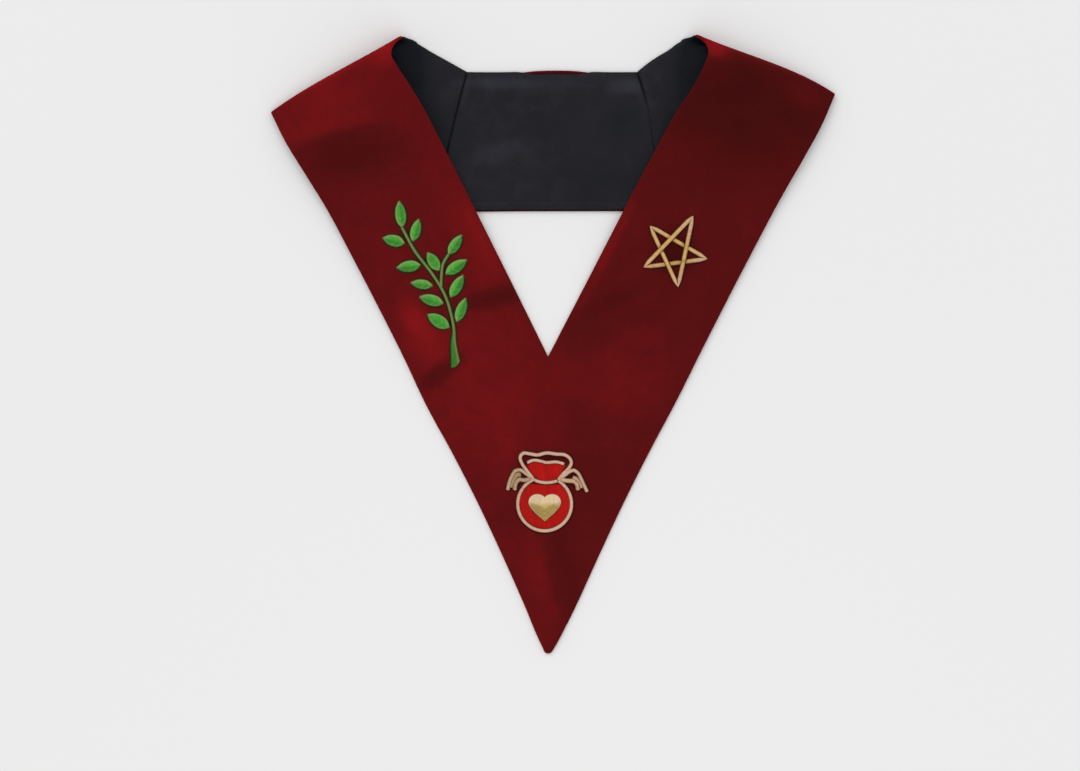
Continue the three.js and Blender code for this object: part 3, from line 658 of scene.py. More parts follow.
def fullness_in_seams(point_at, side, travel, share):
    """How full the lining stays in its seams, from the outer edge at 0 to the neck edge at 1: the
    right seam all but fades away from the neck."""
    on_right = travel > 0.5 if point_at is back_point else np.full(travel.shape, side is RIGHT)
    left, right = (
        mixed(outermost, innermost, smooth_step(low, high, share))
        for outermost, innermost, low, high in (LEFT_SEAM, RIGHT_SEAM)
    )
    return np.where(on_right, right, left)


def section_arrays(loop, travel):
    """A section's pairs as two arrays: shares across the cloth, and offsets from its middle."""
    shares, offsets = (
        np.stack([np.broadcast_to(value, travel.shape) for value in values], axis=-1)
        for values in zip(*loop)
    )
    return np.clip(shares, 0, 1), offsets


def velvet_section(point_at, side, travel, ends):
    """The velvet's face, turned over both edges and hemmed."""
    half = CLOTH / 2
    neck_width, outer_width = edge_widths(point_at, side, travel, ends)
    bare_hem, outer_hem = hem_widths(point_at)
    wrap = shown_lining(point_at, travel)
    tuck = TUCK * wrap
    sunk = 1 - TUCK_SINKS * wrap * (1 - seam_fullness(point_at, travel))
    neck_hem = mixed(bare_hem, TUCKED_HEM, wrap)
    loop = []

    def fold_neck_edge(angles, reach):
        for angle in angles:
            share = (tuck + half * (1 - math.sin(angle))) / neck_width
            loop.append((share, reach * math.cos(angle)))

    fold_neck_edge(np.linspace(math.pi / 2, 0, NECK_FOLD_POINTS), half)
    first = (tuck + half) / neck_width
    last = 1 - half / outer_width
    for share in np.linspace(0, 1, FACE_POINTS)[1:-1]:
        loop.append((mixed(first, last, share), half))
    for angle in np.linspace(0, math.pi, OUTER_FOLD_POINTS):
        loop.append((1 - half * (1 - math.sin(angle)) / outer_width, half * math.cos(angle)))
    for share, offset in HEM_UNDERSIDE:
        loop.append((1 - mixed(half, outer_hem, share) / outer_width, offset))
    hem_start = 1 - (outer_hem + HEM_THREAD) / outer_width
    hem_end = (neck_hem + HEM_THREAD) / neck_width
    for share in np.linspace(0, 1, INNER_POINTS):
        loop.append((mixed(hem_start, hem_end, share), HEM_INSIDE))
    loop.append((neck_hem / neck_width, HEM_LIP * sunk))
    loop.append(((neck_hem - HEM_THREAD / 2) / neck_width, -half * sunk))
    fold_neck_edge(np.linspace(math.pi, math.pi / 2, NECK_FOLD_POINTS)[:-1], half * sunk)
    return section_arrays(loop, travel)


def lining_section(point_at, side, travel, ends):
    """The lining's skin, its edges turned under beside the hems and filled out where it shows."""
    neck_width, outer_width = edge_widths(point_at, side, travel, ends)
    bare_hem, outer_hem = hem_widths(point_at)
    wrap = shown_lining(point_at, travel)
    loose = np.ones_like(travel)
    if point_at is front_point:
        loose = smooth_step(*LINING_LOOSENS, travel)
    rounding = seam_fullness(point_at, travel)
    depth = mixed(LINING_TIGHT, LINING_LOOSE, loose)
    neck_start = mixed(bare_hem + LINING_STANDS_IN, 0.0, wrap)
    outer_start = outer_hem + LINING_STANDS_IN
    skin_start = mixed(neck_start + TUCK, LINING_WRAPPED_SKIN, wrap) / neck_width
    skin_end = 1 - (outer_start + TUCK) / outer_width
    loop = []
    for share in np.linspace(0, 1, INNER_POINTS):
        loop.append((mixed(skin_start, skin_end, share), LINING_SKIN))
    for distance, share in LINING_ROUNDING:
        offset = -depth * mixed(LINING_SKIN / -depth, share, rounding)
        loop.append((1 - (outer_start + distance) / outer_width, offset))
    face_end = 1 - (outer_start + LINING_ROUNDED) / outer_width
    face_start = (neck_start + LINING_ROUNDED) / neck_width
    for share in np.concatenate([LINING_EDGE_POINTS, LINING_FACE_POINTS]):
        filled = 1 - LINING_HOLLOW * math.sin(math.pi * share)
        if point_at is back_point:
            distance = (1 - mixed(face_end, face_start, share)) * outer_width
            filled = filled - STITCH_DEPTH * np.exp(-((distance - STITCH_LINE) / STITCH_WIDTH) ** 2)
        filled = filled * mixed(fullness_in_seams(point_at, side, travel, share), 1, rounding)
        loop.append((mixed(face_end, face_start, share), -depth * filled))
    widest = LINING_ROUNDING[-1][0]
    for distance, share in reversed(LINING_ROUNDING):
        wrapped = share - wrap * LINING_WRAP * (1 - distance / widest) ** 2
        offset = -depth * wrapped * mixed(SEAM_AT_NECK, 1, rounding)
        loop.append(((neck_start + distance) / neck_width, offset))
    return section_arrays(loop, travel)


def front_rings(section):
    """Sections all along the front piece, from the left seam round the V to the right one."""
    ends = (CENTRE, SEAM)
    rings = []
    for side, places in ((LEFT, travels(LEFT)[::-1]), (RIGHT, np.append(0.0, travels(RIGHT)))):
        shares, offsets = section(front_point, side, places, ends)
        rings.append(strip_points(front_point, side, shares, places, offsets, ends))
    return np.concatenate(rings)


def back_rings(section):
    ends = (0.0, 1.0)
    close = np.array(BACK_ROWS_AT_SEAM)
    between = np.linspace(BACK_ROWS_REACH, 1 - BACK_ROWS_REACH, BACK_ROWS)
    places = np.concatenate([close, between, 1 - close[::-1]])[::-1]
    shares, offsets = section(back_point, LEFT, places, ends)
    return strip_points(back_point, LEFT, shares, places, offsets, ends)


# Meshes


def plan_to_frame():
    """The step from plan millimetres to the frame's metres, read off the back piece's box."""
    low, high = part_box("back_velvet")
    left = BACK_LENGTH / 2 * LEFT["back_length"] + SEAM_SLANT * LEFT["slant"] - CLEARANCE / 2
    return np.array([low.x + left * MM, high.y - NECK_LENGTH * MM, 0.0])


PLAN_ORIGIN = plan_to_frame()


def in_frame(points):
    return points * MM + PLAN_ORIGIN


def ring_faces(ring_count, count):
    """Quads between neighbouring rings, and a face over each end."""
    start = np.arange(ring_count - 1)[:, None] * count
    corner = np.arange(count)[None, :]
    following = (corner + 1) % count
    near, far = start + corner, start + following
    sides = np.stack([near, far, far + count, near + count], axis=-1)
    last = (ring_count - 1) * count
    ends = [list(range(count))[::-1], list(range(last, last + count))]
    return sides.reshape(-1, 4).tolist() + ends


def turned_outwards(points, faces):
    """The faces, reversed if the volume that they close comes out negative."""
    total = 0.0
    for sides in {len(face) for face in faces}:
        corners = points[np.array([face for face in faces if len(face) == sides])]
        for second in range(1, sides - 1):
            normals = np.cross(corners[:, second], corners[:, second + 1])
            total += float(np.sum(corners[:, 0] * normals))
    return faces if total > 0 else [face[::-1] for face in faces]


def make_piece(name, ring_sets, layers=None):
    """One mesh object through sets of rings, with named numbers at its points for the materials."""
    points, faces = [], []
    for rings in ring_sets:
        at = sum(len(part) for part in points)
        flat = in_frame(rings.reshape(-1, 3))
        own = turned_outwards(flat - flat.mean(axis=0), ring_faces(*rings.shape[:2]))
        faces += [[at + corner for corner in face] for face in own]
        points.append(flat)
    mesh = bpy.data.meshes.new(name)
    mesh.from_pydata(np.concatenate(points).tolist(), [], faces)
    for polygon in mesh.polygons:
        polygon.use_smooth = True
    for layer, values in (layers or {}).items():
        store_layer(mesh, layer, np.concatenate([part.reshape(-1) for part in values]))
    mesh.validate()
    piece = bpy.data.objects.new(name, mesh)
    bpy.context.scene.collection.objects.link(piece)
    return piece


def finish_piece(piece, material, nodes):
    piece.data.materials.clear()
    piece.data.materials.append(material)
    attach(piece, "root")
    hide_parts(*nodes)


def mesh_vectors(piece, kind):
    """The places, "co", or the directions, "normal", of a piece's points."""
    flat = np.empty(len(piece.data.vertices) * 3, np.float32)
    piece.data.vertices.foreach_get(kind, flat)
    return flat.reshape(-1, 3).astype(float)


def plan_points(piece):
    return (mesh_vectors(piece, "co") - PLAN_ORIGIN) / MM


def store_layer(mesh, name, values):
    """Keeps a number for each of a mesh's points, for its material to read."""
    stored = mesh.attributes.new(name, "FLOAT", "POINT")
    stored.data.foreach_set("value", values.astype(np.float32))


def patched(points, patches, level):
    """A level over the plan, raised and lowered in soft-edged patches."""
    level = level + np.zeros(len(points))
    for x, y, reach_along, reach_across, turn, amount in patches:
        angle = math.radians(turn)
        run_x, run_y = points[:, 0] - x, points[:, 1] - y
        along = (run_x * math.cos(angle) + run_y * math.sin(angle)) / reach_along
        aside = (run_y * math.cos(angle) - run_x * math.sin(angle)) / reach_across
        level += amount * np.exp(-np.hypot(along, aside) ** 3)
    return level


def in_seams(points, reach):
    """1 in the two seams, falling to 0 beside them."""
    share = np.clip((NECK_LENGTH - points[:, 1]) / BAND_WIDTH, 0, 1)
    near = [np.abs(points[:, 0] - seam_point(side, share, 0.0)[:, 0]) for side in (LEFT, RIGHT)]
    return np.exp(-(np.minimum(*near) / reach) ** 2) * behind_neck(points)


def behind_neck(points):
    """1 for the cloth that lies on the floor behind the neck, and 0 for the rest."""
    beside = np.abs(points[:, 0]) < BACK_LENGTH / 2 + SEAM_SLANT + BEHIND_MARGIN
    above = points[:, 1] > NECK_LENGTH - BAND_WIDTH - BEHIND_MARGIN / 2
    return beside & above & (points[:, 2] < 1.5 * CLOTH)


def brush_pile_and_paint_light(piece):
    """Stores the velvet's painted light and shade, partly how the pile lies: patches painted
    lighter or darker, painted shade in the seams and along the back piece's lower edge, and a
    painted highlight where the cloth bends.
    """
    points = plan_points(piece)
    lay = mixed(LEFT_LAPPET_LEVEL, RIGHT_LAPPET_LEVEL, smooth_step(*LAPPET_LEVEL_CHANGE, points[:, 0]))
    lay = patched(points, PILE_AND_PAINTED_LIGHT, lay) + PAINTED_VELVET_SHADE * in_seams(points, PILE_SEAM_REACH)
    lower_edge = points[:, 1] - NECK_LENGTH + BAND_WIDTH
    lay += PAINTED_VELVET_SHADE * smooth_step(*LOWER_EDGE_SHADE, lower_edge) * behind_neck(points)
    level = np.abs(mesh_vectors(piece, "normal")[:, 2])
    store_layer(piece.data, "pile_lay", lay)
    store_layer(piece.data, "pile_open", smooth_step(*BEND_HIGHLIGHT_SLOPES, level))


def paint_satin_light(piece):
    """Stores the satin's painted light and shade: painted highlights and shade in patches, and
    painted shade in its seams and where it turns down over its edges.
    """
    points = plan_points(piece)
    lay = patched(points, SATIN_PAINTED_LIGHT, SATIN_LEVEL)
    fading = smooth_step(*RIGHT_SEAM_FADES, points[:, 1]) * (points[:, 0] > 0)
    in_seam = in_seams(points, SATIN_SEAM_REACH) * mixed(1, RIGHT_SEAM_REMAINS, fading)
    level = np.abs(mesh_vectors(piece, "normal")[:, 2])
    lay += SATIN_SEAM_SHADE * in_seam + SATIN_TURNED_DOWN_SHADE * smooth_step(*SATIN_TURNS_DOWN, level)
    store_layer(piece.data, "satin_lay", lay)


def crumple(piece, height, size):
    """Moves a lining's shown face up and down a little, as satin over a stiffener does."""
    points = mesh_vectors(piece, "co")
    normals = mesh_vectors(piece, "normal")
    lift = np.array([noise.fractal(Vector(point) / size, 0.8, 2.1, 3) for point in points])
    points += normals * (lift * height * np.clip(normals[:, 2:], 0, 1)[:, 0])[:, None]
    piece.data.vertices.foreach_set("co", points.astype(np.float32).reshape(-1))
    piece.data.update()


class Ground:
    """Heights of the velvet's face under points of the plan, for laying the embroidery on it."""

    def __init__(self, piece):
        faces = [tuple(polygon.vertices) for polygon in piece.data.polygons]
        corners = [vertex.co for vertex in piece.data.vertices]
        self.tree = BVHTree.FromPolygons(corners, [face for face in faces if len(face) == 4])

    def height(self, x, y):
        start = in_frame(stacked(x, y, LOOK_DOWN_FROM)).reshape(-1, 3)
        down = Vector((0, 0, -1))
        found = [self.tree.ray_cast(Vector(point), down)[0] for point in start]
        if any(hit is None for hit in found):
            raise RuntimeError("embroidery reaches past the velvet")
        return np.array([hit.z for hit in found]).reshape(np.shape(x)) / MM


# Curves in plan


def smooth_curve(pairs, spacing):
    """Evenly spaced points on a centripetal curve through the pairs, with their headings."""
    knots = np.array(pairs, float)
    knots = np.concatenate([[2 * knots[0] - knots[1]], knots, [2 * knots[-1] - knots[-2]]])
    traced = []
    for start in range(len(knots) - 3):
        p0, p1, p2, p3 = knots[start:start + 4]
        d0, d1, d2 = (math.sqrt(np.linalg.norm(b - a)) for a, b in ((p0, p1), (p1, p2), (p2, p3)))
        t1 = ((p1 - p0) / d0 - (p2 - p0) / (d0 + d1) + (p2 - p1) / d1) * d1
        t2 = ((p2 - p1) / d1 - (p3 - p1) / (d1 + d2) + (p3 - p2) / d2) * d1
        t = np.linspace(0, 1, 60)[:, None]
        square = -3 * p1 + 3 * p2 - 2 * t1 - t2
        stretch = p1 + t1 * t + square * t ** 2 + (2 * p1 - 2 * p2 + t1 + t2) * t ** 3
        traced.append(stretch if start == 0 else stretch[1:])
    traced = np.concatenate(traced)
    run = np.concatenate([[0], np.cumsum(np.linalg.norm(np.diff(traced, axis=0), axis=1))])
    count = max(4, int(round(run[-1] / spacing)) + 1)
    stops = np.linspace(0, run[-1], count)
    points = np.stack([np.interp(stops, run, traced[:, axis]) for axis in (0, 1)], axis=-1)
    headings = unit(np.gradient(points, axis=0))
    return points, headings, stops


def scattered(number, start=0.0):
    """A different share from 0 to 1 for each whole number, the same in each run."""
    return np.mod(np.sin(number * 12.9898 + start) * 43758.5453, 1)


def thread_relief(distance, pitch, height):
    """Rounded threads side by side: how high each stands, and a share for each thread."""
    share = distance / pitch
    number = np.floor(share)
    inside = share - number
    rise = height * np.sqrt(np.clip(1 - (2 * inside - 1) ** 2, 0, 1))
    return rise, scattered(number, 4.1)


def stitched_rows(
    lay, low, high, columns, height, crown, run_of, pitch, relief, rim_width=0.0, edge_width=0.5,
    halved=1.0
):
    """A padded, stitched shape between two edges, laid on the ground: rows from low to high with
    columns across, a dark skirt pressed into the pile that is painted shadow round the pad, partly
    pressed pile, and a number for each use at each point: painted light on the side that faces the
    light, a pale rim lighter on that side as a painted highlight, and painted shadow at the edges.
    crown gives the padding's height over it, and run_of the way across its threads."""
    across = np.linspace(0, 1, columns)[None, :, None]
    plan = low[:, None, :] + (high - low)[:, None, :] * across
    length = np.linalg.norm(high - low, axis=-1)[:, None]
    share = across[..., 0]
    inset = length * share * (1 - share)
    body = height * np.tanh(inset / PAD_SHOULDER) + crown(plan, share, length)
    rise, tone = thread_relief(run_of(plan, share, length), pitch, relief)
    broad = np.clip(length / BROAD_ROW, 0, 1) ** 2
    # Painted shadow at the shape's edges, where the stitches sink into the pile, partly pile
    # pressed by them.
    edge = np.exp(-(inset / edge_width) ** 2) * mixed(0.35, 1, broad)
    outwards = unit(high - low)
    # How much each side faces the light, for painting that side paler.
    facing = 0.5 + 0.5 * halved * (outwards @ LIT_SIDE)[:, None] * np.sign(share - 0.5)
    rim = np.zeros_like(body)
    if rim_width:
        from_rim = (inset - edge_width - 0.45 * rim_width) / rim_width
        rim = np.exp(-from_rim ** 2) * mixed(0.15, 1, facing)
        rim = np.maximum(rim, 0.7 * (1 - broad))
    base = lay.height(plan[..., 0], plan[..., 1]) - SUNK
    standing = np.maximum(body + rise * np.tanh(inset / THREAD_SHOULDER), SUNK + 0.1)
    top = np.concatenate([plan, (base + standing)[..., None]], axis=-1)
    under_columns = [-2, columns // 2, 1]
    under = top[:, under_columns].copy()
    under[..., 2] = base[:, under_columns] - PAD_UNDERSIDE
    # The lift layer is painted light on the side facing the light, the pale rim is lighter there as
    # a painted highlight, and the edge layer is painted shadow, full on the skirts and underside.
    layers = {"thread": tone, "rim": rim, "edge": edge, "lift": (facing - 0.5) * 0.5 + 0 * body}
    skirts = []
    for edge_line, step in ((low, -outwards), (high, outwards)):
        x, y = (edge_line + step * PRESSED_AND_SHADOW_SKIRT).T
        skirts.append(stacked(x, y, lay.height(x, y) + 0.01)[:, None])
    rings = np.concatenate([skirts[0], top, skirts[1], under], axis=1)
    return rings, {name: framed(values, name == "edge") for name, values in layers.items()}


def framed(values, filling=0.0):
    """A layer's numbers with one more column at each side and three for the underside."""
    blank = np.full((len(values), 1), float(filling))
    return np.concatenate([blank, values, blank, blank, blank, blank], axis=1)


def cord_rings(lay, pairs, width, height, pitch, lift=None, pointed=0.0):
    """A twisted, couched cord along a plan curve, flattened on its underside and pressed into the
    pile at both sides, with a number for each use at each point: painted shade on its sides and
    where it dips under another, painted shadow on the skirts at both sides, a painted highlight
    along its top, and painted light on the side facing the light."""
    points, headings, run = smooth_curve(pairs, CORD_STEP)
    around = np.linspace(0, 2 * math.pi, CORD_SIDES, endpoint=False)[None, :]
    aside = np.stack([-headings[:, 1], headings[:, 0]], axis=-1)[:, None, :]
    strand = CORD_STRANDS / 2 * around - math.pi * run[:, None] / pitch
    swell = mixed(CORD_WAIST, 1, np.abs(np.cos(strand)))
    to_end = np.minimum(run, run[-1] - run)[:, None]
    narrow = np.clip(to_end / max(pointed, 0.5), 0, 1) ** (0.75 if pointed else 0.5) * 0.97 + 0.03
    skirt = np.round(np.abs(np.cos(around)), 6) == 1
    reach = (width / 2 * swell * narrow + PRESSED_AND_SHADOW_SKIRT * skirt) * np.cos(around)
    plan = points[:, None, :] + aside * reach[..., None]
    base = lay.height(plan[..., 0], plan[..., 1]) - SUNK
    upper = height * swell * mixed(0.55, 1, narrow) * (0.5 + 0.5 * np.sin(around))
    hump = (lift(run) if lift else np.zeros_like(run))[:, None]
    rise = np.where(skirt, SUNK + 0.01, upper + hump)
    rings = np.concatenate([plan, (base + rise)[..., None]], axis=-1)
    tone = scattered(np.floor(strand / math.pi))
    facing = (aside @ LIT_SIDE) * np.cos(around)
    # Painted shade on the cord's sides and skirts, less on the lit side, and where it dips under
    # another cord.
    edge = smooth_step(0.62, 0.96, np.abs(np.cos(around)) - 0.1 * facing) + 0 * tone
    edge = np.clip(edge + (hump < -0.05) * np.clip(-1.2 * hump, 0, 1), 0, 1)
    # A painted highlight along the cord's top, shifted towards the lit side.
    palest = 0.35 * np.sign(facing + 1e-6) * np.abs(aside @ LIT_SIDE)
    rim = 0.55 * np.exp(-((np.cos(around) - palest) / 0.4) ** 2) * (np.sin(around) > 0)
    layers = {"thread": tone, "rim": rim + 0 * tone, "edge": edge, "lift": 0.12 * facing + 0 * tone}
    return rings, layers


# Materials

# The size of each pattern, in millimetres. A tuft of pile is 0.3 mm across and is drawn at 0.9 mm,
# and the satin's floats are 0.15 mm apart and are drawn at 0.6 mm, to show at this distance.
BRUSH_MARK = 6.0
TUFT = 0.9
CRUMPLE = 14.0
FLOAT_SPACING = 0.6
FLOAT_STRETCH = (0.25, 1.0, 1.0)
FIBRE = 0.5
THREAD_DRIFT = 7.0
PAPER_CLOUD = 900.0


def add_node(tree, kind, settings=None, links=None):
    """Adds a node, sets its properties and sockets and joins its sockets to others' outputs."""
    made = tree.nodes.new(kind)
    for name, value in (settings or {}).items():
        if isinstance(name, str) and hasattr(made, name):
            setattr(made, name, value)
        else:
            made.inputs[name].default_value = value
    for name, source in (links or {}).items():
        tree.links.new(source, made.inputs[name])
    return made


def opaque(colour):
    return (*colour, 1.0)


def per_feature(size_mm):
    """A texture scale that gives features of about this size, in millimetres."""
    return 1.0 / (size_mm * MM)


def start_material(name):
    """A new material, with its node tree and its places in the object's own metres."""
    material = bpy.data.materials.new(name)
    material.use_nodes = True
    tree = material.node_tree
    tree.nodes.clear()
    place = add_node(tree, "ShaderNodeTexCoord")
    return material, tree, place.outputs["Object"]


def shade_colours(tree, level, shares, *tone_sets):
    """One colour along each set of tones, deepest first: all at a shade that is a level plus each
    source times its share. A source is a node's output or the name of a stored layer."""
    shade = None
    for source, share in shares:
        if isinstance(source, str):
            layer = add_node(tree, "ShaderNodeAttribute", {"attribute_name": source})
            source = layer.outputs["Fac"]
        settings = {"operation": "MULTIPLY_ADD", 1: share, 2: level}
        links = {0: source, 2: shade} if shade else {0: source}
        shade = add_node(tree, "ShaderNodeMath", settings, links).outputs[0]
    colours = []
    for tone_set in tone_sets:
        made = add_node(tree, "ShaderNodeValToRGB", {}, {"Fac": shade})
        elements = made.color_ramp.elements
        elements[0].color, elements[1].color = opaque(tone_set[0]), opaque(tone_set[-1])
        for number, tone in enumerate(tone_set[1:-1], 1):
            elements.new(number / (len(tone_set) - 1)).color = opaque(tone)
        colours.append(made.outputs["Color"])
    return colours


def turn_colour(tree, layer, first, second):
    """The first colour, turned to the second, a tone or an output, as the stored layer says."""
    share = add_node(tree, "ShaderNodeAttribute", {"attribute_name": layer})
    settings = {"data_type": "RGBA"}
    links = {0: share.outputs["Fac"], 6: first}
    if isinstance(second, tuple):
        settings[7] = opaque(second)
    else:
        links[7] = second
    return add_node(tree, "ShaderNodeMix", settings, links).outputs[2]


def finish_material(material, settings, links):
    """Joins a shader to the material's output."""
    tree = material.node_tree
    shader = add_node(tree, "ShaderNodeBsdfPrincipled", settings, links)
    add_node(tree, "ShaderNodeOutputMaterial", {}, {"Surface": shader.outputs[0]})
    return material


def velvet_material(colours, sizes):
    """Cut-pile cotton velvet, woven double and sheared: matt and deep seen down the pile, with a
    soft sheen and a painted highlight where it bends, painted light and shade in patches, and
    clouds where the pile has been brushed one way or other."""
    material, tree, place = start_material("cut_pile_velvet")
    clouds, marks, tufts = (
        add_node(tree, "ShaderNodeTexNoise", {
            "Scale": per_feature(size), "Detail": 2.0, "Distortion": distortion
        }, {"Vector": place}).outputs["Fac"]
        for size, distortion in ((sizes.pile_cloud / MM, 0.5), (BRUSH_MARK, 0.5), (TUFT, 0.0))
    )
    # Its colour runs from the painted shade tone to the painted highlight tone, by the stored
    # painted light and shade and the pile's own clouds, marks and tufts.
    colour, = shade_colours(tree, -0.2, (
        ("pile_lay", 1.0), (clouds, 0.18), (marks, 0.1), (tufts, 0.12), ("pile_open", 0.24)
    ), tones(colours, "velvet_shade", "velvet", "velvet_highlight"))
    bump = add_node(
        tree, "ShaderNodeBump", {"Strength": 0.5, "Distance": 0.25 * MM}, {"Height": tufts}
    )
    return finish_material(material, {
        "Roughness": 0.92,
        "Specular IOR Level": 0.0,
        "Sheen Weight": 0.12,
        "Sheen Roughness": 0.42,
        "Sheen Tint": opaque(linear("#d01c20")),
    }, {"Base Color": colour, "Normal": bump.outputs[0]})


def satin_material(colours):
    """Black polyester satin, woven with long floats: smooth and close, with a broad soft shine that
    turns bluish where it catches the light, painted light and shade from its stored layer, and
    faint crumples that are painted lighter where they rise."""
    material, tree, place = start_material("woven_black_satin")
    along_floats = add_node(tree, "ShaderNodeMapping", {"Scale": FLOAT_STRETCH}, {"Vector": place})
    crumples, floats = (
        add_node(tree, "ShaderNodeTexNoise", {
            "Scale": per_feature(size), "Detail": detail, "Distortion": distortion
        }, {"Vector": vector}).outputs["Fac"]
        for size, detail, distortion, vector in (
            (CRUMPLE, 3.0, 0.6, place), (FLOAT_SPACING, 1.0, 0.0, along_floats.outputs[0])
        )
    )
    colour, = shade_colours(
        tree, -0.25, (("satin_lay", 1.0), (crumples, 0.3), (floats, 0.2)),
        tones(colours, "lining_shade", "lining", "lining_light")
    )
    grain = add_node(
        tree, "ShaderNodeBump", {"Strength": 0.2, "Distance": 0.08 * MM}, {"Height": floats}
    )
    folds = add_node(
        tree, "ShaderNodeBump", {"Strength": 0.35, "Distance": 1.2 * MM},
        {"Height": crumples, "Normal": grain.outputs[0]}
    )
    return finish_material(material, {
        "Roughness": 0.46,
        "Specular IOR Level": 0.12,
        "Anisotropic": 0.45,
        "Sheen Weight": 0.02,
        "Sheen Roughness": 0.4,
        "Sheen Tint": opaque(linear("#8c9ab8")),
    }, {"Base Color": colour, "Normal": folds.outputs[0]})


def thread_material(name, usual, rim, edge, shine, metallic=0.0, other=None):
    """Filament thread laid side by side: each strand a little lighter or darker than the next, with
    a silky shine along it, painted paler on the side that faces the light, a pale rim and painted
    highlight where the stored layer says, and painted shadow, partly pile pressed by the stitches,
    where the outermost stitches sink into the pile."""
    material, tree, place = start_material(name)
    fibres, drift = (
        add_node(
            tree, "ShaderNodeTexNoise", {"Scale": per_feature(size), "Detail": 2.0},
            {"Vector": place}
        ).outputs["Fac"]
        for size in (FIBRE, THREAD_DRIFT)
    )
    # The lift layer is painted light: the side that faces the light is painted paler.
    shares = ((fibres, 0.6), ("lift", 1.0), ("thread", 0.35), (drift, 0.5))
    tone_sets = (usual, other) if other else (usual,)
    colour, *turned = shade_colours(tree, -0.22, shares, *tone_sets)
    for layer, second in (*(("other", found) for found in turned), ("rim", rim), ("edge", edge)):
        colour = turn_colour(tree, layer, colour, second)
    bump = add_node(
        tree, "ShaderNodeBump", {"Strength": 0.25, "Distance": 0.1 * MM}, {"Height": fibres}
    )
    return finish_material(material, {
        "Roughness": 0.42,
        "Metallic": metallic,
        "Specular IOR Level": shine,
        "Anisotropic": 0.3,
    }, {"Base Color": colour, "Normal": bump.outputs[0]})


# What a user may change


def colour_property(name, description, code):
    return FloatVectorProperty(
        name=name, description=description, subtype="COLOR", size=3, min=0.0, max=1.0,
        default=linear(code)
    )


def length_property(name, description, millimetres):
    return FloatProperty(
        name=name, description=description, default=millimetres * MM, min=0.0,
        unit="LENGTH", subtype="DISTANCE"
    )


class CollarSizes(bpy.types.PropertyGroup):
    pile_cloud: length_property("Pile clouds", "Size of the clouds in the brushed pile", 30.0)
    satin_pitch: length_property("Satin stitches", "Distance between stitches, drawn coarse", 0.75)
    cord_pitch: length_property("Cord twist", "Distance between the strands of a couched cord", 1.1)
    crumple_height: length_property("Crumples", "Height of the lining's crumples", 0.35)
    crumple_size: length_property("Crumple size", "Distance between the lining's crumples", 26.0)
    picture_width: length_property("Picture width", "Width that the camera takes in", 793.8)
    lens: FloatProperty(
        name="Lens", description="The camera's focal length in millimetres", default=160.0, min=20.0
    )


class CollarColours(bpy.types.PropertyGroup):
    # The velvet's darkest tone is painted shade, and its lightest a painted highlight.
    velvet_shade: colour_property("Velvet, deep", "Velvet seen down its pile", "#2a0d0c")
    velvet: colour_property("Velvet", "Velvet with its pile upright", "#571213")
    velvet_highlight: colour_property("Velvet, open", "Velvet where the pile leans over", "#8e171b")
    # The satin's darkest tone is painted shade in its folds, and its lightest a painted highlight.
    lining_shade: colour_property("Lining, deep", "Black satin in its folds", "#060a13")
    lining: colour_property("Lining", "Black satin", "#19191f")
    lining_light: colour_property("Lining, light", "Black satin that catches the light", "#31313b")
    leaf: colour_property("Leaf", "Green rayon thread", "#1a6518")
    leaf_light: colour_property("Leaf, light", "Green rayon thread, lit", "#4fae38")
    # Pale thread round the leaves, painted brighter on the side facing the light as a highlight.
    leaf_rim: colour_property("Leaf rim", "Pale green thread round the leaves", "#93955c")
    # Painted shadow round the leaves and stalks, partly pile pressed by the stitches.
    leaf_edge: colour_property("Leaf edge", "Green thread where it sinks into the pile", "#1e200a")
    stem: colour_property("Stem", "Green thread of the stalks", "#3f7a28")
    stem_pale: colour_property("Stem, pale", "Pale golden thread of the stalks", "#8f7f50")
    gold: colour_property("Gold", "Gold thread", "#a3732f")
    gold_light: colour_property("Gold, light", "Gold thread, lit", "#dcb070")
    # Painted shadow round the gold star and heart, partly pile pressed by the stitches.
    gold_sunk_and_shaded: colour_property("Gold edge", "Gold thread where it sinks into the pile", "#472509")
    cord: colour_property("Pouch cord", "Pale gold cord", "#a37660")
    cord_light: colour_property("Pouch cord, light", "Pale gold cord, lit", "#dab29a")
    # Painted shadow round the pouch's cords and knots, partly pile pressed by the stitches.
    cord_sunk_and_shaded: colour_property("Pouch cord edge", "Cord where it sinks into the pile", "#451a08")
    olive: colour_property("Olive thread", "Olive gold thread of the tied ends", "#85703c")
    pouch: colour_property("Pouch", "Red rayon thread", "#850d09")
    pouch_light: colour_property("Pouch, light", "Red rayon thread, lit", "#c01410")
    heart_low: colour_property("Heart", "Olive gold thread", "#ae9152")
    heart_high: colour_property("Heart, upper", "Pale green gold thread", "#cbb48e")
    floor: colour_property("Floor", "Pale matt floor", "#ebebeb")


def looks():
    scene = bpy.context.scene
    return scene.collar_sizes, scene.collar_colours


def tones(colours, *names):
    """The named colours, each as its red, green and blue."""
    return tuple(tuple(getattr(colours, name)) for name in names)


def times(colour, factor):
    """A colour made lighter or darker."""
    return tuple(min(1.0, part * factor) for part in colour)


def finished_threads(name, parts, material, nodes):
    """Makes a stitched piece from its parts: rings, and a layer of numbers for each use."""
    names = parts[0][1].keys()
    layers = {layer: [part[1][layer] for part in parts] for layer in names}
    piece = make_piece(name, [part[0] for part in parts], layers)
    finish_piece(piece, material, nodes)


GROUNDS = {}


def ground():
    """The velvet's face, built once for all the embroidery."""
    velvet = bpy.data.objects["velvet_front"]
    if velvet.name not in GROUNDS:
        GROUNDS[velvet.name] = Ground(velvet)
    return GROUNDS[velvet.name]


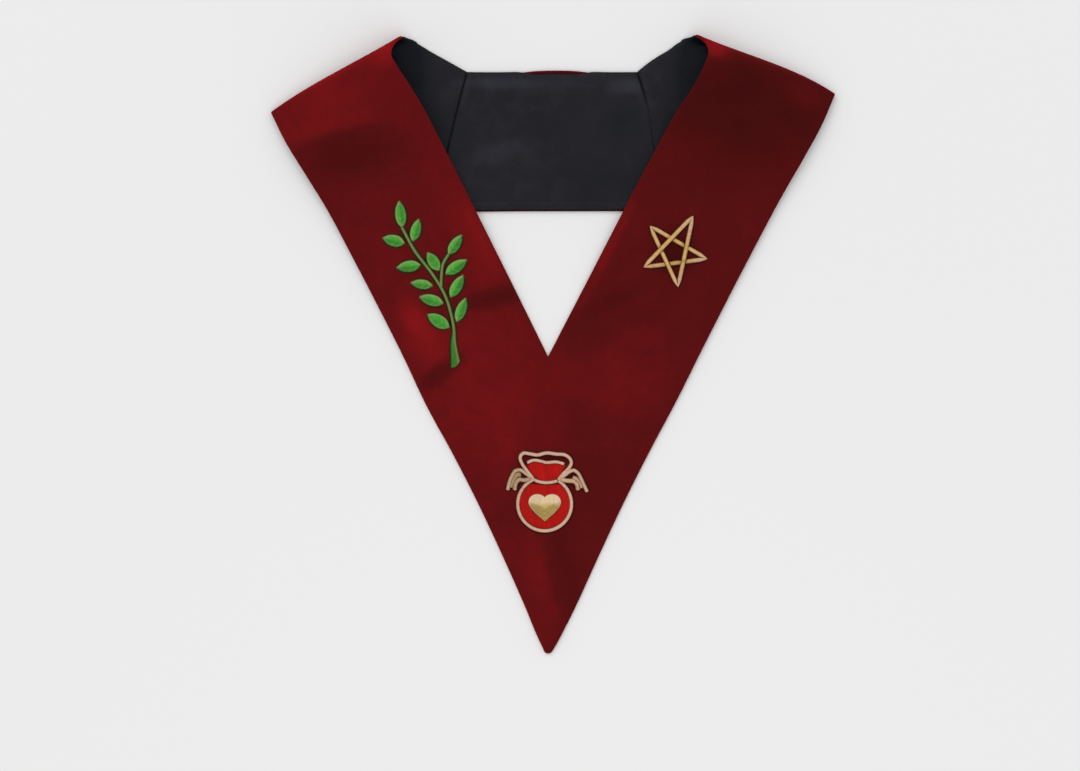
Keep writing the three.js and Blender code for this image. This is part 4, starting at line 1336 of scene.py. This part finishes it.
class COLLAR_OT_stage(bpy.types.Operator):
    """Lays the pale floor and sets the studio light and the camera."""

    bl_idname = "collar.stage"
    bl_label = "Floor, light and camera"

    def execute(self, context):
        sizes, colours = looks()
        scene = context.scene
        bpy.ops.mesh.primitive_grid_add(
            size=FLOOR_SIZE, x_subdivisions=6, y_subdivisions=6, location=(0, 0, -FLOOR_BELOW)
        )
        floor = context.object
        floor.name = "floor"
        material, tree, place = start_material("matt_paper_floor")
        clouds = add_node(
            tree, "ShaderNodeTexNoise", {"Scale": per_feature(PAPER_CLOUD), "Detail": 1.0},
            {"Vector": place}
        )
        base = tuple(colours.floor)
        colour, = shade_colours(
            tree, -0.75, ((clouds.outputs["Fac"], 2.5),), (times(base, 0.985), base)
        )
        matt = {"Roughness": 1.0, "Specular IOR Level": 0.0}
        finish_material(material, matt, {"Base Color": colour})
        floor.data.materials.append(material)

        world = bpy.data.worlds.new("studio")
        scene.world = world
        world.use_nodes = True
        background = world.node_tree.nodes["Background"]
        background.inputs["Color"].default_value = opaque((1.0, 1.0, 1.0))
        background.inputs["Strength"].default_value = ROOM_LIGHT
        for name, energy, spread, lean, heading in LIGHTS:
            lamp = bpy.data.lights.new(name, "SUN")
            lamp.energy = energy
            lamp.angle = math.radians(spread)
            light = bpy.data.objects.new(name, lamp)
            bearing, tilt = math.radians(heading), math.radians(lean)
            level = math.sin(tilt)
            aim = Vector((math.cos(bearing) * level, math.sin(bearing) * level, math.cos(tilt)))
            light.rotation_euler = aim.to_track_quat("Z", "Y").to_euler()
            scene.collection.objects.link(light)

        lens = bpy.data.cameras.new("overhead")
        lens.lens = sizes.lens
        camera = bpy.data.objects.new("overhead", lens)
        distance = sizes.picture_width * lens.lens / lens.sensor_width
        picture_middle = in_frame(np.array(PICTURE_MIDDLE))
        camera.location = (picture_middle[0], picture_middle[1], distance)
        scene.collection.objects.link(camera)
        scene.camera = camera
        scene.view_settings.view_transform = "Standard"
        return {"FINISHED"}


class COLLAR_OT_velvet(bpy.types.Operator):
    """Cuts and hems the front and back pieces of velvet."""

    bl_idname = "collar.velvet"
    bl_label = "Velvet"

    def execute(self, context):
        sizes, colours = looks()
        GROUNDS.clear()
        material = velvet_material(colours, sizes)
        front = make_piece("velvet_front", [front_rings(velvet_section)])
        back = make_piece("velvet_back", [back_rings(velvet_section)])
        for piece, node in ((front, "front_velvet"), (back, "back_velvet")):
            brush_pile_and_paint_light(piece)
            finish_piece(piece, material, [node])
        return {"FINISHED"}


class COLLAR_OT_lining(bpy.types.Operator):
    """Sews the satin lining behind the velvet."""

    bl_idname = "collar.lining"
    bl_label = "Satin lining"

    def execute(self, context):
        sizes, colours = looks()
        material = satin_material(colours)
        front = make_piece("lining_front", [front_rings(lining_section)])
        back = make_piece("lining_back", [back_rings(lining_section)])
        for piece, node in ((front, "front_lining"), (back, "back_lining")):
            crumple(piece, sizes.crumple_height, sizes.crumple_size)
            paint_satin_light(piece)
            finish_piece(piece, material, [node])
        return {"FINISHED"}


def stalk_curve(pairs, spacing):
    foot = np.array(BRANCH_FOOT)
    return smooth_curve([np.array(pair) * BRANCH_HEIGHT + foot for pair in pairs], spacing)


class COLLAR_OT_stalks(bpy.types.Operator):
    """Stitches the branch's stem and twig."""

    bl_idname = "collar.stalks"
    bl_label = "Branch stem and twig"

    def execute(self, context):
        sizes, colours = looks()
        lay = ground()
        pale = colours.stem_pale
        material = thread_material(
            "stem_stitched_rayon", tones(colours, "leaf", "stem"),
            *tones(colours, "leaf_rim", "leaf_edge"), 0.2, 0.0, (times(pale, 0.8), times(pale, 1.2))
        )
        for name, node, pairs, flare in (
            ("stitched_stem", "branch_stem", STEM_CURVE, STEM_END_WIDTH),
            ("stitched_twig", "branch_twig", TWIG_CURVE, STEM_WIDTH),
        ):
            points, headings, run = stalk_curve(pairs, 0.2)
            share = run / run[-1]
            swell = np.maximum(0, 1 - share / STEM_FLARE)
            half = mixed(STEM_WIDTH, flare, swell) / 2
            half = half * np.clip(np.minimum(run, run[-1] - run) / 0.8 + 0.15, 0, 1)
            aside = np.stack([-headings[:, 1], headings[:, 0]], axis=-1) * half[:, None]
            slant = headings * half[:, None] * 0.9 * np.clip(swell, 0, 1)[:, None]

            def crown(plan, across, length):
                return 0.45 * np.sqrt(np.clip(4 * across * (1 - across), 0, 1)) + 0 * length

            def along(plan, across, length):
                return run[:, None] + (across - 0.5) * length * 1.1

            part = stitched_rows(
                lay, points - aside + slant, points + aside - slant * 0.4, STEM_COLUMNS, 0.9,
                crown, along, sizes.satin_pitch / MM * 1.5, relief=0.28, edge_width=0.42
            )
            across = np.linspace(0, 1, STEM_COLUMNS)[None, :]
            slim = smooth_step(0.08, 0.3, share) if flare > STEM_WIDTH else np.ones(len(points))
            slim = slim[:, None]
            from_pale = (across - mixed(0.17, 0.56, slim)) / mixed(0.12, 0.24, slim)
            part[1]["other"] = framed(np.exp(-from_pale ** 2) * mixed(0.6, 0.85, slim))
            finished_threads(name, [part], material, [node])
        return {"FINISHED"}


class COLLAR_OT_leaves(bpy.types.Operator):
    """Satin-stitches the branch's leaves, two halves each, over padding."""

    bl_idname = "collar.leaves"
    bl_label = "Branch leaves"

    def execute(self, context):
        sizes, colours = looks()
        lay = ground()
        material = thread_material(
            "satin_stitched_rayon", tones(colours, "leaf", "leaf_light"),
            *tones(colours, "leaf_rim", "leaf_edge"), 0.2
        )
        stalks = {"stem": stalk_curve(STEM_CURVE, 0.1), "twig": stalk_curve(TWIG_CURVE, 0.1)}
        halves, _, _ = smooth_curve(LEAF_HALVES, 0.01)
        for number, (stalk, at, turn, stand, length, width) in enumerate(LEAVES, 1):
            points, headings, _ = stalks[stalk]
            place = min(int(round(at * (len(points) - 1))), len(points) - 1)
            grow = math.atan2(headings[place][1], headings[place][0])
            heading = grow + math.radians(turn)
            side = grow if at == 1 else grow + math.copysign(math.pi / 2, turn)
            standing = STEM_WIDTH / 2 + CLEARANCE + stand * LEAF_LENGTH
            base = points[place] + standing * np.array([math.cos(side), math.sin(side)])
            full = length * LEAF_LENGTH
            broad = width * LEAF_WIDTH
            share = np.linspace(0, 1, LEAF_ROWS)
            half = np.maximum(0.06, np.interp(share, halves[:, 0], halves[:, 1]) * broad)
            middle = base + np.outer(share * full, [math.cos(heading), math.sin(heading)])
            aside = np.outer(half, [-math.sin(heading), math.cos(heading)])

            def crown(plan, across, row_length):
                groove = np.exp(-((across - 0.5) * row_length / LEAF_GROOVE) ** 2)
                groove = groove * np.clip(row_length / BROAD_ROW, 0, 1)
                return 0.55 * np.sin(math.pi * across) - 0.2 * groove

            def slanted(plan, across, row_length):
                return (share * full)[:, None] - np.abs(across - 0.5) * row_length * 0.75

            part = stitched_rows(
                lay, middle - aside, middle + aside, LEAF_COLUMNS, SATIN_HEIGHT, crown, slanted,
                sizes.satin_pitch / MM, relief=0.2, rim_width=0.55
            )
            node = f"leaf_{number}"
            finished_threads(f"stitched_{node}", [part], material, [node])
        return {"FINISHED"}


class COLLAR_OT_star(bpy.types.Operator):
    """Couches the star's five gold strands, each rising over or dipping under the others where they
    cross, as STAR_OVER gives.
    """

    bl_idname = "collar.star"
    bl_label = "Star"

    def execute(self, context):
        sizes, colours = looks()
        lay = ground()
        material = thread_material(
            "couched_gold_thread", tones(colours, "gold", "gold_light"),
            *tones(colours, "gold_light", "gold_sunk_and_shaded"), 0.3, 0.3,
            tones(colours, "cord", "cord_light")
        )
        middle = np.array(STAR_MIDDLE)
        tips = []
        for bearing, reach in STAR_TIPS:
            angle = math.radians(bearing)
            tips.append(middle + STAR_RADIUS * reach * np.array([math.cos(angle), math.sin(angle)]))
        parts = []
        for number, tip in enumerate(tips):
            end = tips[(number + 2) % 5]
            length = float(np.linalg.norm(end - tip))

            def over(run, length=length, above=STAR_OVER[number]):
                hump = np.zeros_like(run)
                for place, lies_over in zip(STAR_CROSSINGS, above):
                    near = np.exp(-((run - length * place) / STAR_HUMP_REACH) ** 2)
                    hump += STAR_HUMPS[lies_over] * near
                return hump

            rings, layers = cord_rings(
                lay, [tip, mixed(tip, end, 0.5), end], STAR_CORD_WIDTH, CORD_HEIGHT,
                sizes.cord_pitch / MM, over, STAR_POINT
            )
            from_middle = (rings[..., :2] - middle) / STAR_RADIUS
            paler = smooth_step(0.3, 0.85, np.linalg.norm(from_middle, axis=-1))
            layers["other"] = paler * mixed(0.55, 1, smooth_step(-1, 1, from_middle[..., 0]))
            parts.append((rings, layers))
        finished_threads("couched_star", parts, material, ["star"])
        return {"FINISHED"}


def pouch_places(pairs):
    return [np.array(pair) * POUCH_SIZE + np.array(POUCH_MIDDLE) for pair in pairs]


class COLLAR_OT_pouch_fill(bpy.types.Operator):
    """Satin-stitches the pouch's red body and neck."""

    bl_idname = "collar.pouch_fill"
    bl_label = "Pouch filling"

    def execute(self, context):
        sizes, colours = looks()
        lay = ground()
        red, lit = tones(colours, "pouch", "pouch_light")
        # The edge tone, the red darkened to 0.35, is painted shadow round the pouch, partly pile
        # pressed by the stitches.
        material = thread_material(
            "red_satin_stitched_rayon", (red, lit), red, times(red, 0.35), 0.06
        )
        centre = np.array(POUCH_MIDDLE) + (0, POUCH_ROUND_RISE)
        radius = POUCH_RADIUS - CORD_WIDTH / 2 + POUCH_UNDER_CORD
        top = POUCH_MIDDLE[1] + POUCH_TOP * POUCH_SIZE

        def flat(plan, across, length):
            return 0.15 * np.sin(math.pi * across) + 0 * length

        def upright(plan, across, length):
            return plan[..., 0] + 0.12 * plan[..., 1]

        rows, columns = POUCH_GRID
        x = np.linspace(-radius + ROW_INSET, radius - ROW_INSET, rows)
        rise = np.sqrt(radius ** 2 - x ** 2)
        low = np.stack([centre[0] + x, centre[1] - rise], axis=-1)
        high = np.stack([centre[0] + x, np.minimum(centre[1] + rise, top)], axis=-1)
        threads = (POUCH_HEIGHT, flat, upright, sizes.satin_pitch / MM, 0.08)
        body = stitched_rows(lay, low, high, columns, *threads, edge_width=0.9, halved=0.0)
        finished_threads("stitched_pouch_body", [body], material, ["pouch_body"])

        lower = np.array(pouch_places(NECK_FILL_LOW))
        upper = np.array(pouch_places(NECK_FILL_HIGH))
        rows, columns = POUCH_NECK_GRID
        x = np.linspace(lower[0, 0] + ROW_INSET, lower[-1, 0] - ROW_INSET, rows)
        low = np.stack([x, np.interp(x, lower[:, 0], lower[:, 1])], axis=-1)
        high = np.stack([x, np.interp(x, upper[:, 0], upper[:, 1])], axis=-1)
        neck = stitched_rows(lay, low, high, columns, *threads, edge_width=0.6, halved=0.0)
        finished_threads("stitched_pouch_neck", [neck], material, ["pouch_neck"])
        return {"FINISHED"}


def cord_material(colours):
    name = "couched_pale_gold_cord"
    if name in bpy.data.materials:
        return bpy.data.materials[name]
    return thread_material(
        name, tones(colours, "cord", "cord_light"), *tones(colours, "cord_light", "cord_sunk_and_shaded"),
        0.3, 0.1, (times(colours.olive, 0.7), times(colours.olive, 1.4))
    )


def pale_cord(rings, layers, olive=0.0):
    """A part of a pale cord, some of it turned to olive gold."""
    layers["other"] = np.full(rings.shape[:2], olive)
    return rings, layers


class COLLAR_OT_pouch_cords(bpy.types.Operator):
    """Couches the pale cords round the pouch, along its lip and round its neck."""

    bl_idname = "collar.pouch_cords"
    bl_label = "Pouch cords"

    def execute(self, context):
        sizes, colours = looks()
        lay = ground()
        material = cord_material(colours)
        pitch = sizes.cord_pitch / MM
        angles = np.radians(np.linspace(*POUCH_NECK_ANGLES, 40))
        centre = np.array(POUCH_MIDDLE) + (0, POUCH_ROUND_RISE)
        circle = centre + POUCH_RADIUS * np.stack([np.cos(angles), np.sin(angles)], axis=-1)
        for name, wide, high, curves in (
            ("outline", 1.0, 1.0, (circle, pouch_places(MOUTH_CURVE))),
            ("lip", 0.9, 1.0, (pouch_places(LIP_CURVE),)),
            ("tie", 0.95, 1.25, (pouch_places(TIE_CURVE),)),
        ):
            width, height = POUCH_CORD_WIDTH * wide, CORD_HEIGHT * high
            parts = [pale_cord(*cord_rings(lay, curve, width, height, pitch)) for curve in curves]
            finished_threads(f"couched_{name}", parts, material, [f"pouch_{name}"])
        return {"FINISHED"}


class COLLAR_OT_knots(bpy.types.Operator):
    """Couches the tied ends at both sides of the pouch's neck."""

    bl_idname = "collar.knots"
    bl_label = "Pouch knots"

    def execute(self, context):
        sizes, colours = looks()
        lay = ground()
        material = cord_material(colours)
        for node, strands in (("knot_left", LEFT_KNOT), ("knot_right", RIGHT_KNOT)):
            parts = []
            for width, height, olive, curve in strands:
                rings, layers = cord_rings(
                    lay, pouch_places(curve), POUCH_CORD_WIDTH * width, CORD_HEIGHT * height,
                    sizes.cord_pitch / MM
                )
                parts.append(pale_cord(rings, layers, olive))
            finished_threads(f"couched_{node}", parts, material, [node])
        return {"FINISHED"}


def bezier(points):
    t = np.linspace(0, 1, CURVE_POINTS)[:, None]
    parts = ((1 - t) ** 3, 3 * (1 - t) ** 2 * t, 3 * (1 - t) * t ** 2, t ** 3)
    return sum(part * point for part, point in zip(parts, points))


class COLLAR_OT_heart(bpy.types.Operator):
    """Lays the gold threads of the heart over its padding, paler in its upper part."""

    bl_idname = "collar.heart"
    bl_label = "Heart"

    def execute(self, context):
        sizes, colours = looks()
        lay = ground()
        lower_tone, upper_tone = colours.heart_low, colours.heart_high
        material = thread_material(
            "laid_gold_thread", (times(lower_tone, 0.62), times(lower_tone, 1.4)),
            *tones(colours, "cord_light", "gold_sunk_and_shaded"), 0.25, 0.2,
            (times(upper_tone, 0.75), times(upper_tone, 1.2))
        )
        middle = np.array(POUCH_MIDDLE) - (0, HEART_BELOW_MIDDLE)
        wide, tall = HEART_WIDTH / 2, HEART_HEIGHT / 2
        lower = bezier(np.array(HEART_LOWER) * (wide, tall))
        upper = bezier(np.array(HEART_UPPER) * (wide, tall))
        x = np.linspace(-wide + ROW_INSET, wide - ROW_INSET, HEART_ROWS)
        low = np.stack([x, np.interp(np.abs(x), lower[:, 0], lower[:, 1])], axis=-1) + middle
        high = np.stack([x, np.interp(np.abs(x), upper[:, 0], upper[:, 1])], axis=-1) + middle
        change = middle[1] + HEART_CHANGE * tall

        def facets(plan, across, length):
            above = np.clip((plan[..., 1] - change) / (tall * 0.8), 0, 1)
            below = np.clip((change - plan[..., 1]) / (tall * 1.2), 0, 1)
            aside = np.abs(plan[..., 0] - middle[0]) / wide
            ridge = (1 - smooth_step(0, 1, above)) * (1 - 0.75 * smooth_step(0, 1, below))
            return 0.95 * ridge * (1 - 0.35 * aside) * np.tanh(length / 4) + 0.75

        def laid(plan, across, length):
            aside = np.abs(plan[..., 0] - middle[0])
            upright = plan[..., 0]
            slanted = plan[..., 1] * 0.8 + aside * 0.6
            return np.where(plan[..., 1] > change, upright, slanted)

        part = stitched_rows(
            lay, low, high, HEART_COLUMNS, 0.6, facets, laid, sizes.satin_pitch / MM,
            relief=0.14, rim_width=0.5, edge_width=0.4
        )
        across = np.linspace(0, 1, HEART_COLUMNS)[None, :]
        height = low[:, 1:] + (high - low)[:, 1:] * across
        wavy = change + 0.35 * np.sin(x / 2.3)[:, None] + 0.15 * np.sin(x / 0.8 + 1)[:, None]
        part[1]["other"] = framed(smooth_step(-1.5, 2.6, height - wavy))
        finished_threads("laid_heart", [part], material, ["heart"])
        return {"FINISHED"}


STEPS = (
    COLLAR_OT_stage,
    COLLAR_OT_velvet,
    COLLAR_OT_lining,
    COLLAR_OT_stalks,
    COLLAR_OT_leaves,
    COLLAR_OT_star,
    COLLAR_OT_pouch_fill,
    COLLAR_OT_pouch_cords,
    COLLAR_OT_knots,
    COLLAR_OT_heart,
)


class COLLAR_PT_steps(bpy.types.Panel):
    """Lists the steps that make the collar, and the sizes and colours that they read."""

    bl_idname = "COLLAR_PT_steps"
    bl_label = "V collar"
    bl_space_type = "VIEW_3D"
    bl_region_type = "UI"
    bl_category = "Collar"

    def draw(self, context):
        for step in STEPS:
            self.layout.operator(step.bl_idname)
        for group in (context.scene.collar_sizes, context.scene.collar_colours):
            for name in group.__annotations__:
                self.layout.prop(group, name)


CLASSES = (CollarSizes, CollarColours, *STEPS, COLLAR_PT_steps)


def register():
    for made in CLASSES:
        bpy.utils.register_class(made)
    bpy.types.Scene.collar_sizes = PointerProperty(type=CollarSizes)
    bpy.types.Scene.collar_colours = PointerProperty(type=CollarColours)


def unregister():
    del bpy.types.Scene.collar_colours
    del bpy.types.Scene.collar_sizes
    for made in reversed(CLASSES):
        bpy.utils.unregister_class(made)


def main():
    register()
    for step in STEPS:
        group, name = step.bl_idname.split(".")
        getattr(getattr(bpy.ops, group), name)()


if __name__ == "__main__":
    main()
